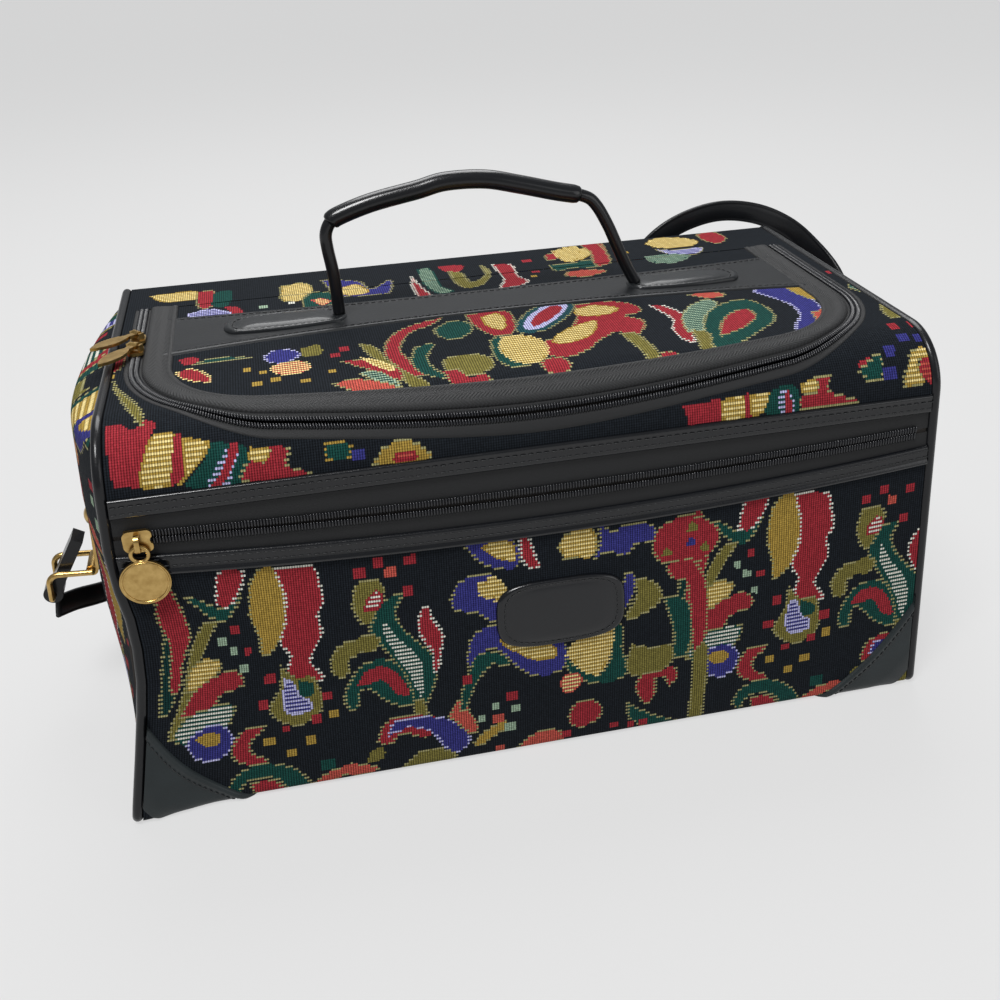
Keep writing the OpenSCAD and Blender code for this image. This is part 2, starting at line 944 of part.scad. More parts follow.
// Wire loop whose outer end is bent down
module ring() {
    r = wire_d / 2;
    half = ring_w / 2 + r;
    bend_x = ring_reach;
    end_x = bend_x + ring_bend_r;
    translate([barrel_x, 0, barrel_z]) {
        for (bar = [[0, 0], [end_x, -ring_drop]])
            translate([bar[0], half, bar[1]]) rotate([90, 0, 0]) cylinder(r = r, h = 2 * half);
        for (side = [-1, 1])
            translate([0, side * half, 0]) {
                sphere(r);
                rotate([0, 90, 0]) cylinder(r = r, h = bend_x);
                translate([bend_x, 0, -ring_bend_r])
                    rotate([90, 0, 0])
                        rotate_extrude(angle = 90)
                            translate([ring_bend_r, 0])
                                circle(r);
                translate([end_x, 0, -ring_drop]) cylinder(r = r, h = ring_drop - ring_bend_r);
                translate([end_x, 0, -ring_drop]) sphere(r);
            }
    }
}

module ring_left() {
    color("#c9a862") on_end(-1) ring();
}

module ring_right() {
    color("#c9a862") on_end(1) ring();
}

// End of the strap, folded round the ring's outer bar and sewn to itself
module strap_end() {
    hole_r = wire_d / 2 + clearance;
    loop_r = hole_r + strap_t;
    translate([barrel_x + ring_reach + ring_bend_r, 0, barrel_z - ring_drop])
        rotate([90, 0, 0])
            linear_extrude(height = strap_w, center = true)
                difference() {
                    union() {
                        circle(loop_r);
                        rotate(tail_lean) translate([-strap_t, 0]) square([2 * strap_t, tail_l]);
                    }
                    circle(hole_r);
                }
}

module strap_end_left() {
    color("#17181b") on_end(-1) strap_end();
}

module strap_end_right() {
    color("#17181b") on_end(1) strap_end();
}

module strap_left() {
    color("#17181b") strap(strap_left_route);
}

module strap_right() {
    color("#17181b") strap(strap_right_route);
}

bottom_panel();
base_board();
back_panel();
left_end();
right_end();
front_wall();
pocket_front();
shoulder_panel();
hinge_hem();
lining();
piping_left();
piping_right();
pocket_strip_upper();
pocket_strip_lower();
pocket_tape_upper();
pocket_tape_lower();
pocket_chain();
corner_patch_left();
corner_patch_right();
front_patch();
body_zip_tape();
body_zip_chain();
lid_front_panel();
lid_rear_panel();
lid_band();
lid_board();
lid_binding();
lid_zip_tape();
lid_zip_chain();
handle_core();
handle_grip();
handle_tab_left();
handle_tab_right();
pocket_slider();
pocket_pull();
lid_slider_front();
lid_pull_front();
lid_slider_rear();
lid_pull_rear();
upper_rivet_left();
upper_rivet_right();
anchor_rivet_left();
anchor_rivet_right();
anchor_plate_left();
anchor_plate_right();
ring_left();
ring_right();
strap_end_left();
strap_end_right();
strap_left();
strap_right();
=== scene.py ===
import bpy
import math
import numpy as np
from mathutils import Matrix, Vector


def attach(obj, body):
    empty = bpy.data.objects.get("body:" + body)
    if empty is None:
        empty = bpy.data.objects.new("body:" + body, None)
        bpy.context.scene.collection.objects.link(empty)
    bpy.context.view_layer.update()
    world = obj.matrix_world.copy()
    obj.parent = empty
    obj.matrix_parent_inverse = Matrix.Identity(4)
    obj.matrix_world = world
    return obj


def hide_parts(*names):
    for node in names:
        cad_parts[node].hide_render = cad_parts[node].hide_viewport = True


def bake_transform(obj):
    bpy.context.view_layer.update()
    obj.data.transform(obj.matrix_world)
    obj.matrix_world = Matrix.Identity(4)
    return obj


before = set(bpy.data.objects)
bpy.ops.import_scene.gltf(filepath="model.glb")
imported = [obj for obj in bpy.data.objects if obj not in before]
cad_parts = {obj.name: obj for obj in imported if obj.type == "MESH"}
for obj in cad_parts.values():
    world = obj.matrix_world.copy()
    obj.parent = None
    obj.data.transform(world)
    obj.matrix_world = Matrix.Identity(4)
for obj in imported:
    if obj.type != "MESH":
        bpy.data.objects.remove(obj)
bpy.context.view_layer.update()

# Camera: it stands in front of the bag and a little to its left, looks down on it and
# is held a little askew. Its lens has no shift.
MM = 0.001
az, el, roll = math.radians(10.97), math.radians(28.96), math.radians(-2.42)
ahead = Vector((math.sin(az) * math.cos(el), math.cos(az) * math.cos(el), -math.sin(el)))
right = ahead.cross(Vector((0, 0, 1))).normalized()
above = right.cross(ahead)
cam_x = right * math.cos(roll) + above * math.sin(roll)
cam_y = above * math.cos(roll) - right * math.sin(roll)
camera = bpy.data.objects.new("camera", bpy.data.cameras.new("camera"))
bpy.context.scene.collection.objects.link(camera)
stand = Vector((-103.72, -529.19, 386.21)) * MM
turn = Matrix((cam_x, cam_y, -ahead)).transposed().to_4x4()
camera.matrix_world = Matrix.Translation(stand) @ turn
SENSOR, FOCAL_PER_WIDTH = 36, 1.13364
camera.data.sensor_width = SENSOR
camera.data.lens = SENSOR * FOCAL_PER_WIDTH
camera.data.clip_start = 0.01
bpy.context.scene.camera = camera


# Shoulder strap: flat black leatherette, 12 mm wide. It leaves the left ring, turns round the
# back corner and falls behind the bag, then climbs, arches over the right corner and reaches
# the right ring.
def linear(hex_colour):
    """An sRGB hex colour as linear values with full alpha."""
    rgb = [int(hex_colour[i:i + 2], 16) / 255 for i in (1, 3, 5)]
    return [c / 12.92 if c <= 0.04045 else ((c + 0.055) / 1.055) ** 2.4 for c in rgb] + [1]


def add_node(tree, kind, links=(), **sockets):
    """Adds a shader node with its settings or input values, and links of (input, output socket)."""
    node = tree.nodes.new(kind)
    for key, value in sockets.items():
        if hasattr(node, key):
            setattr(node, key, value)
        else:
            node.inputs[key.replace("_", " ")].default_value = value
    for key, source in links:
        tree.links.new(source, node.inputs[key])
    return node


def material(name, **settings):
    """A new material with its shader's settings, and its node tree and shader."""
    made = bpy.data.materials.new(name)
    made.use_nodes = True
    shader = made.node_tree.nodes["Principled BSDF"]
    for key, value in settings.items():
        shader.inputs[key.replace("_", " ")].default_value = value
    return made, made.node_tree, shader


def leatherette(name, dark, light, roughness, grain_mm, depth, coat=0.15):
    """Black coated cloth: pebbled grain, and a little lighter where it is rubbed."""
    made, tree, shader = material(
        name, Roughness=roughness, Specular_IOR_Level=0.15, Coat_Weight=coat, Coat_Roughness=0.16)
    place = add_node(tree, "ShaderNodeTexCoord")
    cells = add_node(
        tree, "ShaderNodeTexVoronoi", [("Vector", place.outputs["Object"])], Scale=1 / (grain_mm * MM))
    # Rubbed places: about three in 50 mm
    cloud = add_node(
        tree, "ShaderNodeTexNoise", [("Vector", place.outputs["Object"])], Scale=3 / (50 * MM), Detail=3)
    tint = add_node(tree, "ShaderNodeMix", [("Factor", cloud.outputs["Fac"])], data_type="RGBA")
    tint.inputs[6].default_value = linear(dark)
    tint.inputs[7].default_value = linear(light)
    bump = add_node(
        tree, "ShaderNodeBump", [("Height", cells.outputs["Distance"])], Strength=depth, Distance=0.2 * MM)
    tree.links.new(tint.outputs[2], shader.inputs["Base Color"])
    tree.links.new(bump.outputs["Normal"], shader.inputs["Normal"])
    return made


def add_object(name, verts, faces, mat):
    """A smooth mesh object from millimetre points."""
    name = name.replace(" ", "_")
    mesh = bpy.data.meshes.new(name)
    mesh.from_pydata((np.asarray(verts, float) * MM).tolist(), [], faces)
    mesh.polygons.foreach_set("use_smooth", [True] * len(mesh.polygons))
    mesh.materials.append(mat)
    mesh.update()
    made = bpy.data.objects.new(name, mesh)
    bpy.context.scene.collection.objects.link(made)
    return made


def smooth_route(points, steps):
    """Catmull-Rom points through a route."""
    p = np.asarray(points, float)
    ends = np.vstack([2 * p[0] - p[1], p, 2 * p[-1] - p[-2]])
    out = []
    for i in range(len(p) - 1):
        a, b, c, d = ends[i:i + 4]
        for t in np.arange(steps) / steps:
            bend = (2 * a - 5 * b + 4 * c - d) * t ** 2 + (3 * (b - c) + d - a) * t ** 3
            out.append(0.5 * (2 * b + (c - a) * t + bend))
    return np.array(out + [p[-1]])


def ring_faces(n, m, first=0, closed=False):
    """Faces of m rings of n points, counted from a first point: a closed loop, or a row with capped ends."""
    faces = []
    for i in range(m if closed else m - 1):
        low, high = first + i * n, first + (i + 1) % m * n
        faces += [(low + k, low + (k + 1) % n, high + (k + 1) % n, high + k) for k in range(n)]
    if not closed:
        last = first + (m - 1) * n
        faces += [tuple(range(first + n - 1, first - 1, -1)), tuple(range(last, last + n))]
    return faces


def sweep(name, sections, mat, closed=False):
    """Joins rings of points along a path."""
    faces = ring_faces(len(sections[0]), len(sections), closed=closed)
    return add_object(name, np.concatenate(sections), faces, mat)


def unit(vectors):
    return vectors / np.linalg.norm(vectors, axis=1)[:, None]


def strap_half(name, route, node):
    """Half of the strap, along a route of points that each say which way its face turns in plan."""
    spots = smooth_route(route, 8)
    path, facing = spots[:, :3], np.radians(spots[:, 3])
    along = unit(np.gradient(path, axis=0))
    face = np.stack([np.cos(facing), np.sin(facing), 0 * facing], 1)
    across = unit(np.cross(face, along))
    out = np.cross(along, across)
    half_w, half_t = 6, 1.4
    outline = [
        (-1, -0.35), (-0.93, -0.85), (-0.8, -1), (-0.72, -0.82), (-0.64, -1), (0.64, -1), (0.72, -0.82),
        (0.8, -1), (0.93, -0.85), (1, -0.35),
    ]
    outline += [(a, -b) for a, b in outline[::-1]]
    rings = [
        [p + a * half_w * w + b * half_t * o for a, b in outline]
        for p, w, o in zip(path, across, out)
    ]
    strap = sweep(name, rings, strap_leather)
    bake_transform(strap)
    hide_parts(node)
    return strap


# Coated cloth with a fine pebbled grain: nearly black, with a soft sheen along the edges
strap_leather = leatherette("strap leatherette", "#0d0e10", "#16171a", 0.4, 0.7, 0.25)
left_route = [
    (-238, 1, 60, 152), (-231, 14, 55, 152), (-223, 30, 47, 156), (-216, 52, 36, 163), (-211, 75, 24, 166),
    (-204, 98, 13, 150), (-188, 113, 8, 115), (-160, 118, 6.4, 95), (-120, 118, 6.2, 90),
    (-60, 118, 6.2, 90), (0, 118, 6.2, 90),
]
right_route = [
    (218, 0, 102.8, 0), (217.8, 1.5, 109, 0), (219.5, 9, 118, 0), (225.5, 34, 131, 0), (230, 62, 146, 2),
    (229, 86, 164, 20), (218, 101, 179, 60), (204, 107, 191, 85), (184, 109, 200, 90), (161, 110, 203, 90),
    (138, 110, 198, 90), (120, 110, 187, 90), (106, 111, 168, 90), (92, 113, 140, 90), (74, 115, 100, 90),
    (58, 117, 60, 90), (44, 118, 30, 90), (26, 118, 12, 90), (0, 118, 6.2, 90),
]
strap_half("left strap half", left_route, "strap_left")
strap_half("right strap half", right_route, "strap_right")

# Stage: a light paper sweep under and behind the bag, lit by a broad lamp above and two weaker
# ones at the sides.
# Matt white paper, evenly bright
paper, _, _ = material(
    "paper sweep", Base_Color=linear("#606060"), Emission_Color=linear("#ececec"), Emission_Strength=0.72,
    Roughness=1)
corners = [(-4000, -3000, 0), (4000, -3000, 0), (4000, 5000, 0), (-4000, 5000, 0)]
floor = add_object("paper", corners, [(0, 1, 2, 3)], paper)
for name, place, aim, size, watts in (
    ("key", (-0.5, -0.7, 1.6), (0, 0, 0.1), 0.5, 26),
    ("fill", (1.2, -1.2, 0.7), (0, 0, 0.1), 1.0, 5),
    ("top", (0.1, 0.8, 1.4), (0, 0, 0.15), 1.0, 20),
):
    lamp = bpy.data.objects.new(name, bpy.data.lights.new(name, "AREA"))
    lamp.data.size = size
    lamp.data.energy = watts
    lamp.location = place
    lamp.rotation_euler = (Vector(aim) - Vector(place)).to_track_quat("-Z", "Y").to_euler()
    bpy.context.scene.collection.objects.link(lamp)
world = bpy.context.scene.world or bpy.data.worlds.new("world")
bpy.context.scene.world = world
world.use_nodes = True
world.node_tree.nodes["Background"].inputs["Color"].default_value = (0.95, 0.97, 1, 1)
world.node_tree.nodes["Background"].inputs["Strength"].default_value = 0.3
bpy.context.scene.view_settings.view_transform = "Standard"

# Tapestry: black-ground jacquard, woven in cells of about 1.15 mm, with motifs that repeat every
# 247 mm. Each motif is an outline in millimetres with a yarn, an edging yarn and a stripe yarn.
CELL = 1.15
REPEAT, TIER = 247, 131
YARN = {
    "ground": "#191d22", "red": "#8e2a32", "coral": "#ad4d42", "gold": "#9a7f3a", "olive": "#6e6734",
    "cream": "#d6c284", "green": "#16403a", "teal": "#1b4349", "blue": "#333372", "lilac": "#a9a8cc",
    "edge": "#8f8a60", "white": "#c9c8bd", "mint": "#889d87", "deep": "#12302e",
}
FRONT_MOTIFS = [
    ("deep", "edge", None, [(-179, 106), (-176, 99), (-177, 81), (-178, 65), (-184, 57), (-183, 82)]),
    ("red", "edge", None, [(-178, 122), (-172, 125), (-169, 110), (-168, 98), (-173, 85), (-176, 70),
        (-180, 72), (-178, 95), (-181, 110)]),
    ("olive", "edge", None, [(-154, 104), (-160, 104), (-167, 94), (-171, 82), (-175, 64), (-180, 46),
        (-176, 44), (-170, 64), (-166, 82), (-160, 94)]),
    ("gold", "edge", "cream", [(-172, 68), (-171, 78), (-163, 85), (-155, 82), (-158, 75), (-166, 70)]),
    ("red", "edge", None, [(-175, 55), (-170, 66), (-160, 74), (-148, 76), (-145, 68), (-156, 64),
        (-160, 57), (-168, 54)]),
    ("green", "edge", "white", [(-178, 46), (-172, 54), (-160, 58), (-150, 57), (-152, 48), (-158, 42),
        (-168, 39), (-176, 41)]),
    ("blue", "lilac", None, [(-172, 40), (-166, 46), (-157, 47), (-151, 40), (-153, 31), (-160, 27),
        (-168, 31)]),
    ("gold", None, None, [(-168, 41), (-163, 44), (-157, 42), (-157, 37), (-163, 36)]),
    ("green", "edge", None, [(-166, 118), (-160, 110), (-156, 106), (-150, 104), (-144, 110), (-141, 116),
        (-146, 112), (-153, 111), (-160, 116)]),
    ("red", "white", None, [(-153, 112), (-147, 111), (-141, 118), (-138, 126), (-142, 129), (-149, 128)]),
    ("gold", "edge", None, [(-136, 120), (-131, 127), (-124, 126), (-121, 110), (-122, 96), (-127, 87),
        (-134, 82), (-135, 92), (-138, 105)]),
    ("red", "white", None, [(-124, 126), (-108, 125), (-105, 115), (-104, 106), (-107, 100), (-106, 90),
        (-110, 82), (-112, 75), (-107, 65), (-119, 66), (-123, 72), (-121, 80), (-125, 88), (-122, 98),
        (-121, 112)]),
    ("olive", "edge", None, [(-126, 75), (-120, 68), (-112, 67), (-109, 58), (-109, 48), (-114, 42),
        (-123, 41), (-130, 46), (-133, 52), (-130, 58), (-127, 64)]),
    ("lilac", None, "blue", [(-125, 68), (-121, 66), (-118, 57), (-114, 54), (-114, 48), (-124, 47),
        (-127, 55)]),
    ("green", None, None, [(-119, 66), (-112, 63), (-112, 57), (-118, 57)]),
    ("red", "edge", None, [(-136, 43), (-145, 42), (-150, 36), (-151, 28), (-146, 22), (-137, 20),
        (-136, 23), (-142, 27), (-143, 34), (-138, 39)]),
    ("green", "edge", None, [(-153, 8), (-149, 16), (-140, 20), (-130, 18), (-122, 12), (-117, 3),
        (-118, -4), (-126, -4), (-129, 6), (-135, 11), (-142, 12), (-147, 8), (-149, 3)]),
    ("red", "edge", None, [(-143, 9), (-136, 10), (-130, 5), (-127, -4), (-137, -3), (-142, 3)]),
    ("coral", "edge", None, [(-117, 1), (-110, 7), (-102, 10), (-94, 10), (-85, 5), (-92, 2), (-102, 4),
        (-108, -2), (-114, -3)]),
    ("olive", None, None, [(-90, 10), (-88, 16), (-82, 18), (-82, 11)]),
    ("green", "edge", None, [(-96, 44), (-98, 52), (-94, 63), (-87, 70), (-78, 71), (-70, 64), (-64, 50),
        (-64, 42), (-72, 42), (-80, 48), (-87, 56), (-91, 54), (-92, 46)]),
    ("red", None, None, [(-92, 58), (-88, 65), (-80, 67), (-74, 63), (-70, 56), (-68, 48), (-74, 50),
        (-80, 59), (-87, 58)]),
    ("green", "edge", None, [(-68, 104), (-75, 103), (-82, 99), (-84, 92), (-83, 84), (-78, 76), (-72, 66),
        (-68, 56), (-65, 42), (-60, 42), (-56, 52), (-55, 60), (-57, 70), (-63, 78), (-69, 86), (-72, 95)]),
    ("green", None, "white", [(-77, 96), (-74, 87), (-67, 77), (-61, 68), (-60, 56), (-61, 45), (-64, 46),
        (-67, 56), (-71, 66), (-76, 76), (-79, 86)]),
    ("olive", "edge", None, [(-66, 44), (-62, 44), (-60, 34), (-63, 32), (-66, 36)]),
    ("olive", "edge", None, [(-89, 112), (-82, 114), (-77, 110), (-77, 104), (-80, 98), (-84, 91),
        (-88, 93), (-91, 102)]),
    ("red", None, "white", [(-86, 98), (-85, 104), (-80, 108), (-77, 104), (-80, 98)]),
    ("olive", "edge", None, [(-102, 66), (-103, 74), (-99, 81), (-92, 84), (-84, 85), (-80, 82), (-83, 76),
        (-90, 76), (-95, 73), (-95, 67), (-98, 64)]),
    ("red", "white", None, [(-60, 94), (-57, 96), (-55, 88), (-51, 80), (-52, 70), (-54, 60), (-56, 61),
        (-56, 70), (-60, 78), (-62, 86)]),
    ("red", "edge", None, [(-84, 22), (-81, 32), (-73, 36), (-62, 34), (-55, 30), (-57, 22), (-64, 21),
        (-72, 25), (-79, 19)]),
    ("blue", "lilac", None, [(-79, 25), (-76, 32), (-66, 33), (-54, 31), (-47, 26), (-41, 18), (-41, 11),
        (-47, 7), (-52, 11), (-56, 19), (-61, 25), (-69, 28), (-76, 26)]),
    ("coral", "edge", None, [(-50, 30), (-46, 38), (-43, 40), (-40, 32), (-36, 22), (-38, 17), (-42, 20),
        (-46, 26)]),
    ("gold", "edge", None, [(-38, 11), (-34, 16), (-28, 20), (-23, 22), (-23, 17), (-30, 12), (-36, 8)]),
    ("olive", "edge", None, [(-73, 3), (-66, 10), (-58, 12), (-50, 8), (-47, 3), (-56, 0), (-64, -1)]),
    ("coral", "edge", None, [(-17, 1), (-12, 8), (-4, 11), (3, 10), (7, 4), (-2, 0)]),
    ("blue", "edge", None, [(-46, 97), (-42, 105), (-34, 108), (-27, 107), (-22, 98), (-14, 88), (-8, 82),
        (-18, 80), (-27, 82), (-34, 88), (-44, 91)]),
    ("gold", "cream", "cream", [(-33, 103), (-25, 105), (-19, 97), (-13, 89), (-14, 84), (-20, 86),
        (-26, 94), (-32, 97)]),
    ("blue", "edge", None, [(-40, 126), (-30, 129), (-20, 127), (-13, 118), (-15, 109), (-24, 110),
        (-32, 115)]),
    ("gold", None, "cream", [(-31, 122), (-24, 125), (-16, 122), (-15, 113), (-24, 115)]),
    ("blue", "edge", None, [(-38, 74), (-32, 79), (-20, 79), (-10, 77), (0, 73), (7, 64), (9, 55), (4, 48),
        (-6, 47), (-14, 52), (-20, 60), (-26, 67), (-32, 66), (-36, 59), (-40, 61)]),
    ("gold", None, "cream", [(-25, 72), (-14, 72), (-4, 68), (3, 62), (2, 56), (-8, 57), (-15, 62),
        (-21, 66)]),
    ("green", "edge", None, [(-36, 64), (-29, 66), (-21, 61), (-21, 56), (-28, 58), (-34, 52), (-38, 44),
        (-41, 35), (-44, 33), (-43, 44), (-40, 54)]),
    ("red", "white", None, [(-13, 124), (-9, 124), (-6, 114), (-4, 108), (-8, 107), (-12, 114)]),
    ("gold", "edge", "cream", [(8, 110), (6, 118), (12, 124), (20, 125), (24, 118), (22, 109)]),
    ("blue", "edge", None, [(23, 108), (26, 116), (25, 126), (31, 121), (40, 123), (51, 121), (53, 113),
        (44, 113), (38, 107), (30, 110)]),
    ("blue", "edge", None, [(38, 98), (36, 90), (30, 83), (23, 76), (24, 71), (34, 75), (41, 84),
        (42, 95)]),
    ("olive", "edge", None, [(43, 93), (51, 91), (56, 82), (50, 75), (41, 72), (38, 74), (43, 83)]),
    ("green", "edge", None, [(31, 72), (36, 68), (36, 54), (39, 44), (35, 37), (26, 36), (17, 39), (9, 47),
        (8, 54), (16, 46), (24, 42), (30, 50)]),
    ("gold", "cream", "cream", [(8, 57), (14, 66), (23, 72), (30, 70), (31, 60), (28, 48), (23, 42),
        (15, 47)]),
    ("coral", None, "cream", [(4, 40), (7, 45), (13, 45), (16, 40), (12, 34), (7, 34)]),
    ("red", "edge", None, [(9, 18), (12, 25), (19, 27), (25, 22), (25, 14), (18, 10), (11, 11)]),
    ("olive", "edge", None, [(41, 56), (50, 53), (60, 53), (62, 44), (57, 38), (48, 36), (40, 38),
        (38, 46)]),
    ("red", "edge", None, [(46, 20), (43, 30), (47, 37), (56, 38), (63, 38), (64, 31), (60, 27), (58, 33),
        (53, 33), (53, 25), (50, 18)]),
    ("green", "edge", None, [(39, 20), (46, 14), (54, 8), (62, 4), (70, -2), (76, -4), (60, -4), (48, 2),
        (40, 10)]),
    ("red", "edge", None, [(51, 108), (54, 118), (65, 123), (76, 121), (84, 114), (83, 105), (76, 99),
        (64, 98), (55, 101)]),
    ("olive", None, None, [(55, 103), (58, 108), (61, 104)]),
    ("olive", None, None, [(68, 115), (71, 120), (74, 115)]),
    ("olive", None, None, [(74, 104), (78, 108), (79, 103)]),
    ("blue", None, None, [(68, 107), (70, 112), (73, 108)]),
    ("green", "edge", None, [(57, 80), (66, 79), (71, 70), (71, 54), (68, 44), (62, 46), (62, 60)]),
    ("red", "edge", None, [(58, 98), (66, 101), (73, 97), (78, 86), (79, 68), (78, 54), (74, 43), (72, 50),
        (71, 62), (70, 76), (68, 88), (61, 91)]),
    ("olive", "edge", None, [(72, 46), (77, 50), (80, 44), (79, 20), (77, -4), (71, -4), (72, 22)]),
]
FRONT_SPOTS = [
    ("red", 5, (-132, 69)), ("red", 5, (-136, 55)), ("red", 5, (-106, 55)), ("red", 4, (-126, 39)),
    ("red", 5, (-112, 42)), ("gold", 5, (-134, 33)), ("gold", 5, (-115, 30)), ("gold", 5, (-124, 24)),
    ("gold", 5, (-104, 44)), ("red", 4, (-146, 98)), ("mint", 4, (-153, 93)), ("mint", 4, (-148, 87)),
    ("red", 4, (-141, 86)), ("mint", 4, (-144, 77)), ("red", 5, (-87, 118)), ("red", 5, (-78, 122)),
    ("red", 5, (-64, 121)), ("coral", 5, (-73, 116)), ("red", 5, (-66, 105)), ("red", 5, (-40, 51)),
    ("red", 5, (-19, 37)), ("mint", 4, (-34, 26)), ("mint", 4, (-27, 32)), ("mint", 4, (-17, 29)),
    ("mint", 5, (-20, 18)), ("coral", 5, (-26, 24)), ("coral", 5, (-25, 4)), ("red", 4, (8, 6)),
    ("red", 4, (32, 7)), ("red", 4, (41, 5)), ("red", 4, (47, 5)), ("green", 7, (-108, 13)),
]
